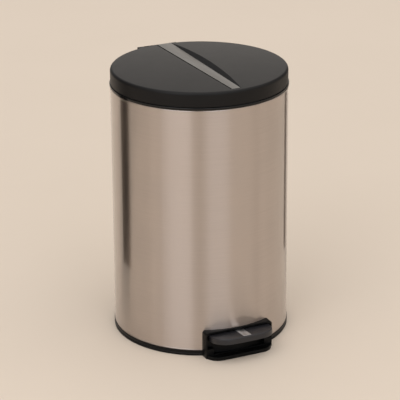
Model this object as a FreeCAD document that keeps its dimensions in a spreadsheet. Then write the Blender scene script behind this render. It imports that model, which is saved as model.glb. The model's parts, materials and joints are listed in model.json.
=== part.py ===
# Round pedal bin: steel can, hinged lid, foot pedal, lift rod and inner bucket.
# Millimetres. +Z is up, -Y is the pedal side and +Y the hinge side.
# The origin is on the can's axis, on the floor that the bin stands on.
#
# Every size is a cell of the sheet "sizes". The places that follow from those
# sizes are the expressions in PLACES, and every feature is bound to both.
import FreeCAD, Part
import math
import os
import re
import Sketcher

Vector = FreeCAD.Vector
Rotation = FreeCAD.Rotation

SIZES = [
    # can
    ("can_height", 424.3, "floor to the top of the collar"),
    ("shell_radius", 145.0, "outside of the steel shell"),
    ("shell_sheet", 0.7, "thickness of the steel"),
    ("shell_foot", 4.6, "height of the shell's lower edge"),
    # base
    ("rim_overhang", 1.0, "base ring and collar beyond the shell"),
    ("ring_height", 9.5, "height of the base ring"),
    ("ring_flange", 8.0, "width of the ring's inward flange"),
    ("pan_height", 2.0, "underside of the base pan"),
    ("pan_thickness", 2.0, "floor of the base pan"),
    ("pan_rim_height", 6.4, "top of the pan's upstand"),
    ("pan_rim_wall", 2.0, "wall of the pan's upstand"),
    ("pad_radius", 11.0, "floor pad"),
    ("pad_inset", 33.0, "shell's outside to a floor pad's axis"),
    ("edge_chamfer", 0.8, "chamfer of the collar and of the ring's foot"),
    ("ring_groove_middle", 4.6, "height of the groove round the base ring"),
    ("ring_groove_mouth", 1.0, "half width of that groove at its mouth"),
    ("ring_groove_floor", 0.35, "half width of that groove at its floor"),
    ("ring_groove_depth", 0.7, "depth of that groove"),
    ("ring_slope_height", 0.9, "slope of the ring's upper edge, upwards"),
    ("ring_slope_width", 0.4, "slope of the ring's upper edge, inwards"),
    # collar
    ("collar_height", 4.3, "height of the collar's outer band"),
    ("collar_cap", 1.1, "collar above the shell's upper edge"),
    ("collar_leg", 2.0, "wall of the collar inside the shell"),
    ("ledge_drop", 4.9, "collar top down to the bucket ledge"),
    ("ledge_thickness", 2.4, "bucket ledge"),
    ("notch_half_width", 18.0, "rear opening for the crank"),
    ("notch_drop", 25.0, "collar top to the bottom of the opening"),
    # bucket and its bail
    ("bucket_gap", 18.0, "shell's outside to the bucket under its flange"),
    ("bucket_taper", 11.0, "radius lost from the bucket's rim to its floor"),
    ("bucket_wall", 1.6, "wall and floor of the bucket"),
    ("bucket_floor_height", 52.0, "underside of the bucket"),
    ("bucket_clearance", 1.0, "bucket to the ledge around it"),
    ("bucket_flange", 6.0, "width of the bucket's flange"),
    ("bucket_flange_thickness", 2.0, "flange"),
    ("bucket_seat_gap", 0.2, "flange above the ledge"),
    ("bail_inset", 15.0, "bucket's outside to the bail's centre line"),
    ("bail_tip_inset", 2.6, "bucket's outside to the end of the bail"),
    ("bail_bore_inset", 1.8, "bucket's outside to the end of a bail bore"),
    ("ear_inset", 1.0, "bucket's outside to the root of a bail boss"),
    ("bail_bend", 5.0, "bend at each end of the bail"),
    ("bail_wire_radius", 1.9, "bail wire"),
    ("bail_drop", 16.0, "collar top to the bail's axis"),
    ("bail_bore_play", 0.06, "bail wire to its bore"),
    ("flange_flat_inset", 0.7, "bucket's outside to the flat of its flange at the hinge"),
    ("flange_flat_play", 2.0, "flat of the flange beyond each side of the rear opening"),
    ("bail_boss_depth", 8.5, "bail boss, inward from the wall"),
    ("bail_boss_half", 6.0, "half of a bail boss's width"),
    ("bail_grip_radius", 4.6, "plastic grip"),
    ("bail_grip_half_angle", 22.0, "half of the grip's arc, degrees"),
    # lid
    ("lid_gap", 0.9, "collar top to the lid's skirt"),
    ("lid_inset", 0.4, "lid inside the shell's radius"),
    ("lid_side", 19.0, "straight side of the lid"),
    ("lid_round", 5.0, "rounding of the lid's upper edge"),
    ("dome_rise", 5.4, "crown of the lid above its rounded edge"),
    ("lid_wall", 2.2, "wall of the lid"),
    ("strip_back_inset", 6.3, "lid's side to the strip's hinge end"),
    ("strip_front_inset", 8.9, "lid's side to the strip's pedal end"),
    ("strip_back_half", 12.5, "half width of the strip at the hinge"),
    ("strip_front_half", 7.1, "half width of the strip at the pedal"),
    ("strip_thickness", 1.3, "strip"),
    ("strip_gap", 0.3, "strip to the foot of the groove's side"),
    ("groove_depth", 6.0, "crown down to the groove's floor"),
    ("groove_slope", 34.0, "slope of the groove's sides, degrees"),
    ("liner_height", 4.4, "lid's lower edge to the liner"),
    ("liner_thickness", 1.6, "liner plate"),
    ("liner_screw_inset", 26.6, "lid's side to a liner screw"),
    ("gate_gap", 1.0, "bracket to the liner's cut-out, at each side"),
    ("boss_radius", 4.2, "screw boss in the lid"),
    ("bumper_radius", 3.0, "rubber bumper under the liner"),
    ("bumper_inset", 4.3, "collar's leg to a bumper's axis"),
    ("bumper_gap", 1.2, "bumper above the bucket ledge"),
    # hinge
    ("lid_travel", 75.0, "opening of the lid, degrees"),
    ("pin_behind", 12.5, "shell to the hinge pin's axis"),
    ("pin_above", 3.7, "collar top to the hinge pin's axis"),
    ("pin_radius", 3.0, "hinge pin"),
    ("pin_clearance", 0.05, "running clearance around every pin"),
    ("pin_recess", 1.0, "end of the hinge pin inside a cheek"),
    ("barrel_gap", 0.9, "shell's outside to the barrel of the lid bracket"),
    ("barrel_half", 24.0, "half length of the barrel"),
    ("barrel_side_gap", 0.5, "barrel to each cheek"),
    ("cheek_width", 11.0, "cheek of the hinge housing"),
    ("crown_gap", 0.4, "barrel to the housing's top"),
    ("barrel_back_gap", 2.4, "barrel to the housing's back wall"),
    ("housing_lip", 0.4, "housing above the collar at its front"),
    ("housing_fit", 0.3, "housing to the collar"),
    ("housing_drop", 32.0, "hinge pin's axis to the housing's foot"),
    ("housing_wall", 3.0, "back and floor of the housing"),
    ("housing_corner", 6.0, "rounding of the housing's rear corners"),
    ("arm_width", 6.0, "arm of the lid bracket"),
    ("arm_height", 10.0, "arm of the lid bracket"),
    ("arm_gap", 1.9, "collar top to the arms"),
    ("flange_inset", 47.0, "shell's outside to the bracket's front"),
    ("flange_length", 36.0, "bracket's screwed flange, front to back"),
    ("arm_trim_gap", 0.4, "liner to the trimmed arms"),
    ("notch_depth", 12.0, "lid's rear opening, inward from the shell's outside"),
    ("notch_room", 0.6, "arms to the top of that opening"),
    ("flange_thickness", 2.5, "bracket's screwed flange"),
    ("bracket_screw_half", 13.4, "YZ plane to a screw of the bracket"),
    ("bracket_screw_front", 8.0, "bracket's front to its first screws"),
    ("bracket_screw_back", 28.0, "bracket's front to its last screws"),
    ("hinge_screw_low", 6.0, "hinge housing's foot to its lower screws"),
    ("hinge_screw_high", 14.0, "hinge housing's foot to its upper screws"),
    # crank and lift rod
    ("rod_inset", 6.5, "shell's outside to the rod's axis"),
    ("rod_radius", 2.0, "lift rod"),
    ("rod_bend", 4.0, "bend of the lift rod"),
    ("rod_foot", 12.0, "height of the rod's lower stub"),
    ("stub_over", 1.0, "stub of the rod beyond its clip"),
    ("crank_offset", 10.0, "YZ plane to the crank plate"),
    ("plate_thickness", 2.0, "crank plate and lever sheet"),
    ("slot_play", 1.0, "stub to each side of the crank's slot"),
    ("slot_end_gap", 0.3, "slot beyond the stub's travel"),
    ("slot_margin", 2.0, "plate around the slot"),
    ("crank_root", 2.0, "hinge pin's axis to the root of the crank plate"),
    ("clip_rim", 1.6, "width of a push-on clip"),
    ("clip_thickness", 1.0, "push-on clip"),
    ("clip_gap", 0.6, "plate to the clip"),
    ("guide_half", 8.0, "half width of a rod guide"),
    ("guide_thickness", 8.0, "height of a rod guide"),
    ("guide_wall", 3.5, "rod to a guide's inner face"),
    ("guide_low", 96.0, "height of the lower rod guide"),
    ("guide_drop", 74.0, "collar top down to the upper guide"),
    # lever
    ("pivot_front", 62.0, "axis of the can to the lever's pivot"),
    ("lever_rise", 19.8, "lever's pivot above the rod's lower stub"),
    ("web_drop", 2.6, "pivot's axis to the top of the lever's web"),
    ("flange_rise", 5.0, "pivot's axis to the top of the flanges"),
    ("lever_tail", 3.4, "lever beyond the rod's stub"),
    ("rod_slack", 1.3, "extra length of the hole for the stub"),
    ("stub_play", 0.25, "stub to the hole's other sides"),
    ("fork_length", 9.0, "open fork at the lever's rear end"),
    ("flange_stop", 3.0, "lever's flanges short of the shell's outside"),
    ("tongue_out", 29.0, "lever's tongue beyond the shell"),
    ("post_gap", 0.4, "lever to each pivot post"),
    ("post_width", 5.6, "pivot post along the pin"),
    ("post_length", 16.0, "pivot post along the can"),
    ("post_crown", 7.0, "pivot's axis to the top of the post"),
    ("pin_overhang", 3.0, "lever's pin beyond each post"),
    ("pivot_clip_gap", 0.6, "post to the clip on the lever's pin"),
    ("pivot_clip_thickness", 1.2, "clip on the lever's pin"),
    ("pivot_clip_rim", 2.0, "width of that clip"),
    # pedal
    ("pedal_half", 53.8, "half width of the pedal"),
    ("pedal_out", 38.0, "pedal's front edge beyond the shell, along the lever"),
    ("pedal_root", 33.0, "depth of the pedal's blank inside the shell"),
    ("pedal_bulge", 0.9, "bow of the pedal's front edge"),
    ("pedal_corner", 28.0, "front corner of the pedal"),
    ("pedal_plate", 3.0, "top of the pedal"),
    ("pedal_depth", 9.6, "edge of the pedal"),
    ("pedal_skirt", 2.6, "wall of the pedal's edge"),
    ("pedal_gap", 2.0, "housing's back to the pedal's rear edge"),
    ("pedal_edge", 1.6, "rounding of the pedal's edges"),
    ("tread_half", 6.9, "half width of the pedal's strip"),
    ("tread_near", 3.6, "pedal strip's rear end beyond the shell"),
    ("tread_far", 34.0, "pedal strip's front end beyond the shell"),
    ("tread_depth", 0.9, "pedal strip below the surface"),
    ("tread_thickness", 1.2, "pedal strip"),
    # pedal housing
    ("pedal_side_gap", 3.7, "pedal to the housing's wall at each side"),
    ("pedal_headroom", 0.8, "pedal's top at rest to the housing's top bar"),
    ("bezel_front", 3.0, "housing in front of the shell"),
    ("bezel_wall", 2.0, "wall of the pedal housing"),
    ("bezel_head", 4.0, "height of the pedal housing's top bar"),
    ("bezel_back", 1.2, "back of the pedal housing, against the shell"),
    ("bezel_corner", 5.0, "upper corner of the pedal housing"),
    ("bezel_root", 45.0, "depth of the pedal housing's blank inside the shell"),
    ("foot_step", 0.5, "foot narrower than the housing at each side"),
    ("foot_reach", 19.6, "foot in front of the shell"),
    ("foot_thickness", 6.0, "foot"),
    ("foot_corner", 23.5, "front corner of the foot"),
    ("foot_rim", 2.2, "rim around the foot's recess"),
    ("foot_recess", 1.6, "depth of the foot's recess"),
    ("bezel_screw_inset", 9.9, "housing's side to a screw"),
    ("bezel_boss_wall", 2.0, "screw to the inner face of its boss"),
    ("bezel_screw_height", 12.4, "height of the housing's screws"),
    ("bezel_boss_top", 16.2, "top of a screw boss"),
    ("window_gap", 2.0, "lever to the window in the shell, at each side"),
    ("window_low", 15.0, "bottom of the lever's window"),
    ("window_top", 42.0, "top of the lever's window"),
    # screws
    ("screw_radius", 1.8, "shank of a screw"),
    ("screw_head_radius", 3.5, "head of a screw"),
    ("screw_head", 2.2, "height of a screw's head"),
    ("screw_length", 12.0, "shank of a long screw"),
    ("short_screw", 8.0, "shell's outside to the end of a pedal housing's screw"),
    ("screw_bite", 6.0, "screw in its boss"),
    ("screw_end_room", 1.0, "hole beyond the screw's end"),
    ("pedal_screw_front", 14.0, "pedal's front edge to its front screw"),
    ("pedal_screw_back", 30.0, "pedal's front edge to its rear screw"),
    ("pedal_screw_bite", 1.4, "screw in the pedal's top"),
    # shaping
    ("cut_over", 5.0, "how far a cut runs past the face that it opens"),
]

PLACES = {
    "shell_inner": "shell_radius - shell_sheet",
    "shell_top": "can_height - collar_cap",
    "rim_radius": "shell_radius + rim_overhang",
    "pan_floor": "pan_height + pan_thickness",
    "pad_circle": "shell_radius - pad_inset",
    "bucket_radius": "shell_radius - bucket_gap",
    "bucket_foot_radius": "bucket_radius - bucket_taper",
    "bail_radius": "bucket_radius - bail_inset",
    "bail_tip": "bucket_radius - bail_tip_inset",
    "ledge_top": "can_height - ledge_drop",
    "ledge_radius": "bucket_radius + bucket_clearance",
    "leg_radius": "shell_inner - collar_leg",
    "lid_base": "can_height + lid_gap",
    "lid_radius": "shell_radius - lid_inset",
    "strip_back": "lid_radius - strip_back_inset",
    "strip_front": "lid_radius - strip_front_inset",
    "liner_screw_circle": "lid_radius - liner_screw_inset",
    "bumper_circle": "leg_radius - bumper_inset",
    "lid_shoulder": "lid_base + lid_side",
    "lid_edge": "lid_shoulder + lid_round",
    "dome_radius": "lid_radius - lid_round",
    "lid_crown": "lid_edge + dome_rise",
    "dome_centre": "lid_crown - (dome_radius * dome_radius + dome_rise * dome_rise) / (2 * dome_rise)",
    "groove_floor": "lid_crown - groove_depth",
    "liner_base": "lid_base + liner_height",
    "liner_top": "liner_base + liner_thickness",
    "pin_y": "shell_radius + pin_behind",
    "pin_z": "can_height + pin_above",
    "barrel_radius": "pin_behind - barrel_gap",
    "housing_crown": "barrel_radius + crown_gap",
    "housing_back": "barrel_radius + barrel_back_gap + housing_wall",
    "housing_half": "barrel_half + barrel_side_gap + cheek_width",
    "hinge_screw_angle": "asin((housing_half - cheek_width / 2) / shell_radius) / (1 deg)",
    "flange_front": "shell_radius - flange_inset",
    "housing_foot": "pin_z - housing_drop",
    "arm_base": "can_height + arm_gap",
    "arm_top": "arm_base + arm_height",
    "rod_y": "shell_radius - rod_inset",
    "crank_reach": "pin_y - rod_y",
    "half_swing": "lid_travel / 2",
    "crank_drop": "crank_reach * tan(half_swing)",
    "crank_far": "crank_reach / cos(half_swing)",
    "rod_head": "pin_z - crank_drop",
    "slot_half": "rod_radius + slot_play",
    "clip_radius": "rod_radius + clip_rim",
    "clip_low": "crank_offset + plate_thickness + clip_gap",
    "clip_high": "clip_low + clip_thickness",
    "stub_length": "clip_high + stub_over",
    "lever_half": "crank_offset + plate_thickness",
    "window_half": "lever_half + window_gap",
    "post_near": "lever_half + post_gap",
    "post_far": "post_near + post_width",
    "pivot_y": "0 - pivot_front",
    "lever_run": "rod_y + pivot_front",
    "lever_tilt": "atan(lever_rise / lever_run) / (1 deg)",
    "pivot_z": "rod_foot + lever_rise",
    "flange_end": "shell_radius - flange_stop - pivot_front",
    "tongue_end": "shell_radius + tongue_out - pivot_front",
    "pedal_reach": "shell_radius + pedal_out - pivot_front",
    "pedal_near": "shell_radius - pedal_root - pivot_front",
    "tread_start": "shell_radius + tread_near - pivot_front",
    "tread_end": "shell_radius + tread_far - pivot_front",
    "bezel_half": "pedal_half + pedal_side_gap + bezel_wall",
    "pedal_crest": "pivot_z + (bezel_front_y - pivot_front) * tan(lever_tilt)"
                   " + (pedal_plate - web_drop) / cos(lever_tilt)",
    "bezel_top": "pedal_crest + pedal_headroom + bezel_head",
    "foot_half": "bezel_half - foot_step",
    "bezel_near": "shell_radius - bezel_root",
    "bezel_screw_angle": "asin((bezel_half - bezel_screw_inset) / shell_radius) / (1 deg)",
    "lever_arm": "lever_run / cos(lever_tilt)",
    "bucket_top": "ledge_top + bucket_seat_gap + bucket_flange_thickness",
    "bail_z": "can_height - bail_drop",
    "foot_front": "shell_radius + foot_reach",
    "bezel_front_y": "shell_radius + bezel_front",
}

doc = FreeCAD.newDocument("PedalBin")
sheet = doc.addObject("Spreadsheet::Sheet", "sizes")
for row, (alias, number, note) in enumerate(SIZES, start=1):
    sheet.set("A%d" % row, alias)
    sheet.set("B%d" % row, str(number))
    sheet.set("C%d" % row, note)
    sheet.setAlias("B%d" % row, alias)
doc.recompute()

ALIASES = {alias for alias, number, note in SIZES}
nodes = []


def bound(text):
    """The text with each place written out and each size pointed at the sheet."""
    def swap(match):
        word = match.group(0)
        if word in PLACES:
            return "(" + bound(PLACES[word]) + ")"
        if word in ALIASES:
            return "sizes." + word
        return word
    return re.sub(r"[a-z_]+", swap, str(text))


def number(text):
    """What an expression comes to now."""
    return float(sheet.evalExpression(bound(text)))


def tie(thing, name, text):
    thing.setExpression(name, bound(text))


def place(thing, x="0", y="0", z="0", turn=None):
    """Put an object at a bound place, turned by a rotation first if one is given."""
    if turn is not None:
        thing.Placement = FreeCAD.Placement(Vector(), turn)
    tie(thing, "Placement.Base.x", x)
    tie(thing, "Placement.Base.y", y)
    tie(thing, "Placement.Base.z", z)
    return thing


def node(thing, label):
    """Mark a finished sub-part: its label is the name of its file."""
    thing.Label = label
    nodes.append(thing)
    return thing


# ---- sketches and the features made from them --------------------------------

def origin_item(body, role):
    for item in body.Origin.OriginFeatures:
        if item.Role == role:
            return item
    raise ValueError(role)


def new_body(name):
    return doc.addObject("PartDesign::Body", name)


def outline(body, role, corners, raised="0"):
    """A closed outline on an origin plane of its body.

    A corner is (across, up), and the side that starts there is straight, or
    (across, up, centre across, centre up, turn): then that side is an arc about
    the centre, anticlockwise for turn 1 and clockwise for turn -1.
    """
    sketch = body.newObject("Sketcher::SketchObject", body.Name + "_outline")
    sketch.AttachmentSupport = (origin_item(body, role), "")
    sketch.MapMode = "FlatFace"
    tie(sketch, "AttachmentOffset.Base.z", raised)
    spots = [Vector(number(corner[0]), number(corner[1]), 0) for corner in corners]
    count = len(corners)
    for index, corner in enumerate(corners):
        start = spots[index]
        end = spots[(index + 1) % count]
        if len(corner) == 2:
            sketch.addGeometry(Part.LineSegment(start, end), False)
            continue
        centre = Vector(number(corner[2]), number(corner[3]), 0)
        first, last = (start, end) if corner[4] > 0 else (end, start)
        begin = math.atan2(first.y - centre.y, first.x - centre.x)
        finish = math.atan2(last.y - centre.y, last.x - centre.x)
        if finish <= begin:
            finish += 2 * math.pi
        circle = Part.Circle(centre, Vector(0, 0, 1), (start - centre).Length)
        sketch.addGeometry(Part.ArcOfCircle(circle, begin, finish), False)
    starts = [2 if len(corner) == 5 and corner[4] < 0 else 1 for corner in corners]
    ends = [3 - start for start in starts]
    for index in range(count):
        following = (index + 1) % count
        sketch.addConstraint(
            Sketcher.Constraint("Coincident", index, ends[index], following, starts[following]))
    for index, corner in enumerate(corners):
        pin_point(sketch, index, starts[index], corner[0], corner[1], "both")
        if len(corner) == 5:
            level = abs(spots[index].y - spots[(index + 1) % count].y) < 1e-6
            pin_point(sketch, index, 3, corner[2], corner[3], "up" if level else "across")
    return sketch


def pin_point(sketch, edge, spot, across, up, which):
    """Bind a point of a sketch to its distances from the sketch's origin."""
    for kind, text in (("DistanceX", across), ("DistanceY", up)):
        if which == "across" and kind == "DistanceY" or which == "up" and kind == "DistanceX":
            continue
        index = sketch.addConstraint(Sketcher.Constraint(kind, -1, 1, edge, spot, number(text)))
        tie(sketch, "Constraints[%d]" % index, text)


def turned(name, corners):
    """A body turned about the can's axis from an outline of (radius, height)."""
    body = new_body(name)
    sketch = outline(body, "XZ_Plane", corners)
    spin = body.newObject("PartDesign::Revolution", name + "_turn")
    spin.Profile = sketch
    spin.ReferenceAxis = (sketch, ["V_Axis"])
    spin.Angle = 360
    return body


def padded(name, role, corners, length, raised="0", both=False):
    """A body padded from an outline: from its plane, or half to each side of it."""
    body = new_body(name)
    sketch = outline(body, role, corners, raised)
    pad = body.newObject("PartDesign::Pad", name + "_pad")
    pad.Profile = sketch
    pad.Midplane = both
    tie(pad, "Length", length)
    return body


def box(name, low, high):
    """A box between two bound corners."""
    thing = doc.addObject("Part::Box", name)
    for side, start, end in zip(("Length", "Width", "Height"), low, high):
        tie(thing, side, "(%s) - (%s)" % (end, start))
    return place(thing, *low)


TO_X = Rotation(Vector(0, 1, 0), 90)
TO_Y = Rotation(Vector(1, 0, 0), -90)


def rod(name, radius, start, end, direction="Z", at=("0", "0")):
    """A cylinder between two heights along X, Y or Z. at is its place on the other two axes."""
    thing = doc.addObject("Part::Cylinder", name)
    tie(thing, "Radius", radius)
    tie(thing, "Height", "(%s) - (%s)" % (end, start))
    if direction == "X":
        return place(thing, start, at[0], at[1], TO_X)
    if direction == "Y":
        return place(thing, at[0], start, at[1], TO_Y)
    return place(thing, at[0], at[1], start)


def spoke(name, radius, start, end, angle, height):
    """A cylinder along a radius of the can, angle degrees from +X."""
    thing = doc.addObject("Part::Cylinder", name)
    tie(thing, "Radius", radius)
    tie(thing, "Height", "(%s) - (%s)" % (end, start))
    heading = number(angle)
    turn = Rotation(Vector(0, 0, 1), heading).multiply(TO_X)
    return place(thing, "(%s) * cos(%s)" % (start, angle), "(%s) * sin(%s)" % (start, angle), height, turn)


def fused(name, *things):
    result = doc.addObject("Part::MultiFuse", name)
    result.Shapes = list(things)
    result.Refine = True
    return result


def cut(name, base, *tools):
    """The base less the tools."""
    result = doc.addObject("Part::Cut", name)
    result.Base = base
    result.Tool = tools[0] if len(tools) == 1 else fused(name + "_tools", *tools)
    result.Refine = True
    return result


def common(name, first, second):
    result = doc.addObject("Part::Common", name)
    result.Base = first
    result.Tool = second
    return result


def group(name, things):
    """Separate identical solids in one node."""
    result = doc.addObject("Part::Compound", name)
    result.Links = things
    return result


def screw_along_z(name, x, y, head_low, length="screw_length"):
    """A screw driven upwards: its head's underside is at head_low."""
    head_top = "(%s) + screw_head" % head_low
    head = rod(name + "_head", "screw_head_radius", head_low, head_top, "Z", (x, y))
    shank = rod(name + "_shank", "screw_radius", head_low, "(%s) + (%s)" % (head_top, length), "Z", (x, y))
    return fused(name, head, shank)


# ---- can: shell, collar, base ------------------------------------------------

def rear_notch(name):
    """The opening behind the collar that the crank swings through."""
    return box(name, ("0 - notch_half_width", "ledge_radius - cut_over", "can_height - notch_drop"),
               ("notch_half_width", "rim_radius + cut_over", "can_height + cut_over"))


def bezel_screw_holes(name):
    """One spoke at each side for the pedal housing's screws."""
    return [spoke(name + side, "screw_radius", "shell_inner - cut_over", "shell_radius + short_screw",
                  "270 %s bezel_screw_angle" % sign, "bezel_screw_height")
            for side, sign in (("_left", "-"), ("_right", "+"))]


def hinge_screw_holes(name):
    """Two spokes at each side for the hinge housing's screws."""
    return [spoke("%s%s_%s" % (name, side, level), "screw_radius", "shell_inner - cut_over",
                  "shell_inner + screw_length", "90 %s hinge_screw_angle" % sign,
                  "housing_foot + %s" % level)
            for side, sign in (("_left", "+"), ("_right", "-"))
            for level in HINGE_SCREW_LEVELS]


HINGE_SCREW_LEVELS = ("hinge_screw_low", "hinge_screw_high")

shell_tube = turned("shell_tube", [
    ("shell_inner", "shell_foot"),
    ("shell_radius", "shell_foot"),
    ("shell_radius", "shell_top"),
    ("shell_inner", "shell_top"),
])
lever_window = box("lever_window", ("0 - window_half", "0 - shell_radius - cut_over", "window_low"),
                   ("window_half", "2 * cut_over - shell_radius", "window_top"))
node(cut("outer_shell_cut", shell_tube, lever_window, rear_notch("shell_notch"),
         *bezel_screw_holes("shell_front_hole"), *hinge_screw_holes("shell_rear_hole")), "outer_shell")

collar_ring = turned("collar_ring", [
    ("ledge_radius", "ledge_top - ledge_thickness"),
    ("shell_inner", "ledge_top - ledge_thickness"),
    ("shell_inner", "shell_top"),
    ("shell_radius", "shell_top"),
    ("shell_radius", "can_height - collar_height"),
    ("rim_radius", "can_height - collar_height"),
    ("rim_radius", "can_height - edge_chamfer"),
    ("rim_radius - edge_chamfer", "can_height"),
    ("leg_radius", "can_height"),
    ("leg_radius", "ledge_top"),
    ("ledge_radius", "ledge_top"),
])
node(cut("top_collar_cut", collar_ring, rear_notch("collar_notch")), "top_collar")

base_band = turned("base_band", [
    ("shell_inner - ring_flange", "0"),
    ("rim_radius - edge_chamfer", "0"),
    ("rim_radius", "edge_chamfer"),
    ("rim_radius", "ring_groove_middle - ring_groove_mouth"),
    ("rim_radius - ring_groove_depth", "ring_groove_middle - ring_groove_floor"),
    ("rim_radius - ring_groove_depth", "ring_groove_middle + ring_groove_floor"),
    ("rim_radius", "ring_groove_middle + ring_groove_mouth"),
    ("rim_radius", "ring_height - ring_slope_height"),
    ("rim_radius - ring_slope_width", "ring_height"),
    ("shell_radius", "ring_height"),
    ("shell_radius", "shell_foot"),
    ("shell_inner", "shell_foot"),
    ("shell_inner", "pan_height"),
    ("shell_inner - ring_flange", "pan_height"),
])
node(base_band, "base_ring")

pan_disc = turned("pan_disc", [
    ("0", "pan_height"),
    ("shell_inner", "pan_height"),
    ("shell_inner", "pan_rim_height"),
    ("shell_inner - pan_rim_wall", "pan_rim_height"),
    ("shell_inner - pan_rim_wall", "pan_floor"),
    ("0", "pan_floor"),
])
posts = []
for side, low, high in (("left", "0 - post_far", "0 - post_near"), ("right", "post_near", "post_far")):
    posts.append(box("post_" + side, (low, "pivot_y - post_length / 2", "pan_height"),
                     (high, "pivot_y + post_length / 2", "pivot_z + post_crown")))
pivot_hole = rod("pivot_hole", "pin_radius", "0 - post_far - cut_over", "post_far + cut_over", "X",
                 ("pivot_y", "pivot_z"))
node(cut("base_pan_cut", fused("pan_with_posts", pan_disc, *posts), pivot_hole), "base_pan")

pads = []
for step in range(4):
    angle = 45 + 90 * step
    pads.append(rod("floor_pad_%d" % step, "pad_radius", "0", "pan_height", "Z",
                    ("pad_circle * cos(%d)" % angle, "pad_circle * sin(%d)" % angle)))
node(group("floor_pad_group", pads), "floor_pads")

pivot_pin = rod("pivot_pin", "pin_radius", "0 - post_far - pin_overhang", "post_far + pin_overhang", "X",
                ("pivot_y", "pivot_z"))
node(pivot_pin, "lever_pivot_pin")

clips = []
clip_near = "post_far + pivot_clip_gap"
clip_far = "post_far + pivot_clip_gap + pivot_clip_thickness"
for side, start, end in (("left", "0 - (%s)" % clip_far, "0 - (%s)" % clip_near),
                         ("right", clip_near, clip_far)):
    disc = rod("pivot_clip_%s_disc" % side, "pin_radius + pivot_clip_rim", start, end, "X",
               ("pivot_y", "pivot_z"))
    bore = rod("pivot_clip_%s_bore" % side, "pin_radius", start, end, "X", ("pivot_y", "pivot_z"))
    clips.append(cut("pivot_clip_" + side, disc, bore))
node(group("pivot_clip_group", clips), "pivot_clips")

# ---- can: pedal housing with its foot ----------------------------------------

def front_outline(half, reach, corner):
    """Plan of the foot from inside the can to its rounded front corners."""
    return [
        ("0 - (%s)" % half, "0 - bezel_near"),
        ("0 - (%s)" % half, "(%s) - (%s)" % (corner, reach),
         "(%s) - (%s)" % (corner, half), "(%s) - (%s)" % (corner, reach), 1),
        ("(%s) - (%s)" % (corner, half), "0 - (%s)" % reach),
        ("(%s) - (%s)" % (half, corner), "0 - (%s)" % reach,
         "(%s) - (%s)" % (half, corner), "(%s) - (%s)" % (corner, reach), 1),
        (half, "(%s) - (%s)" % (corner, reach)),
        (half, "0 - bezel_near"),
    ]


def arch_outline(half, top, corner):
    """Front view of the pedal housing, with rounded upper corners."""
    return [
        ("0 - (%s)" % half, "0"),
        (half, "0"),
        (half, "(%s) - (%s)" % (top, corner),
         "(%s) - (%s)" % (half, corner), "(%s) - (%s)" % (top, corner), 1),
        ("(%s) - (%s)" % (half, corner), top),
        ("(%s) - (%s)" % (corner, half), top,
         "(%s) - (%s)" % (corner, half), "(%s) - (%s)" % (top, corner), 1),
        ("0 - (%s)" % half, "(%s) - (%s)" % (top, corner)),
    ]


foot_plate = padded("foot_plate", "XY_Plane",
                    front_outline("foot_half", "foot_front", "foot_corner"), "foot_thickness")
foot_hollow = padded("foot_hollow", "XY_Plane",
                     front_outline("foot_half - foot_rim", "foot_front - foot_rim",
                                   "foot_corner - foot_rim"),
                     "foot_recess + cut_over", "foot_thickness - foot_recess")
foot_hollow_room = box("foot_hollow_room", ("0 - foot_half", "0 - foot_front", "0"),
                       ("foot_half", "0 - bezel_front_y", "foot_thickness + cut_over"))
arch = padded("arch", "XZ_Plane", arch_outline("bezel_half", "bezel_top", "bezel_corner"),
              "bezel_front_y - bezel_near", "bezel_near")
arch_hollow = padded("arch_hollow", "XZ_Plane",
                     arch_outline("bezel_half - bezel_wall", "bezel_top - bezel_head",
                                  "bezel_corner - bezel_wall"),
                     "bezel_front_y - bezel_near + 2 * cut_over", "bezel_near - cut_over")
arch_floor = box("arch_floor", ("0 - bezel_half", "0 - bezel_front_y - 2 * cut_over", "0 - cut_over"),
                 ("bezel_half", "4 * cut_over - bezel_near", "foot_thickness"))
boss_near = "bezel_half - bezel_screw_inset - screw_radius - bezel_boss_wall"
boss_left = box("bezel_boss_left", ("0 - bezel_half", "0 - bezel_front_y", "0"),
                ("0 - (%s)" % boss_near, "0 - bezel_near", "bezel_boss_top"))
boss_right = box("bezel_boss_right", (boss_near, "0 - bezel_front_y", "0"),
                 ("bezel_half", "0 - bezel_near", "bezel_boss_top"))
back_core = rod("back_core", "shell_radius + bezel_back", "0 - cut_over", "bezel_top + cut_over")
bezel = fused("bezel_blank", cut("arch_walls", arch, cut("arch_room", arch_hollow, arch_floor, back_core)),
              cut("foot_dished", foot_plate, common("foot_dish", foot_hollow, foot_hollow_room)),
              boss_left, boss_right)
can_core = rod("can_core", "shell_radius", "0 - cut_over", "bezel_top + cut_over")
ring_core = rod("ring_core", "rim_radius", "0 - cut_over", "ring_height")
back_window = box("back_window",
                  ("0 - window_half", "0 - shell_radius - bezel_back - cut_over", "window_low"),
                  ("window_half", "2 * cut_over - shell_radius", "bezel_top - bezel_head"))
node(cut("pedal_housing_cut", bezel, can_core, ring_core, back_window, *bezel_screw_holes("bezel_hole")),
     "pedal_housing")

screws = []
for side, sign in (("_left", "-"), ("_right", "+")):
    angle = "270 %s bezel_screw_angle" % sign
    head = spoke("bezel_screw_head" + side, "screw_head_radius", "shell_inner - screw_head",
                 "shell_inner", angle, "bezel_screw_height")
    shank = spoke("bezel_screw_shank" + side, "screw_radius", "shell_inner - screw_head",
                  "shell_radius + short_screw", angle, "bezel_screw_height")
    shell_room = rod("bezel_screw_room" + side, "shell_inner", "0", "bezel_top")
    screws.append(fused("bezel_screw" + side, common("bezel_head" + side, head, shell_room), shank))
node(group("bezel_screw_group", screws), "housing_screws")

# ---- can: hinge housing and its pin ------------------------------------------

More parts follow.
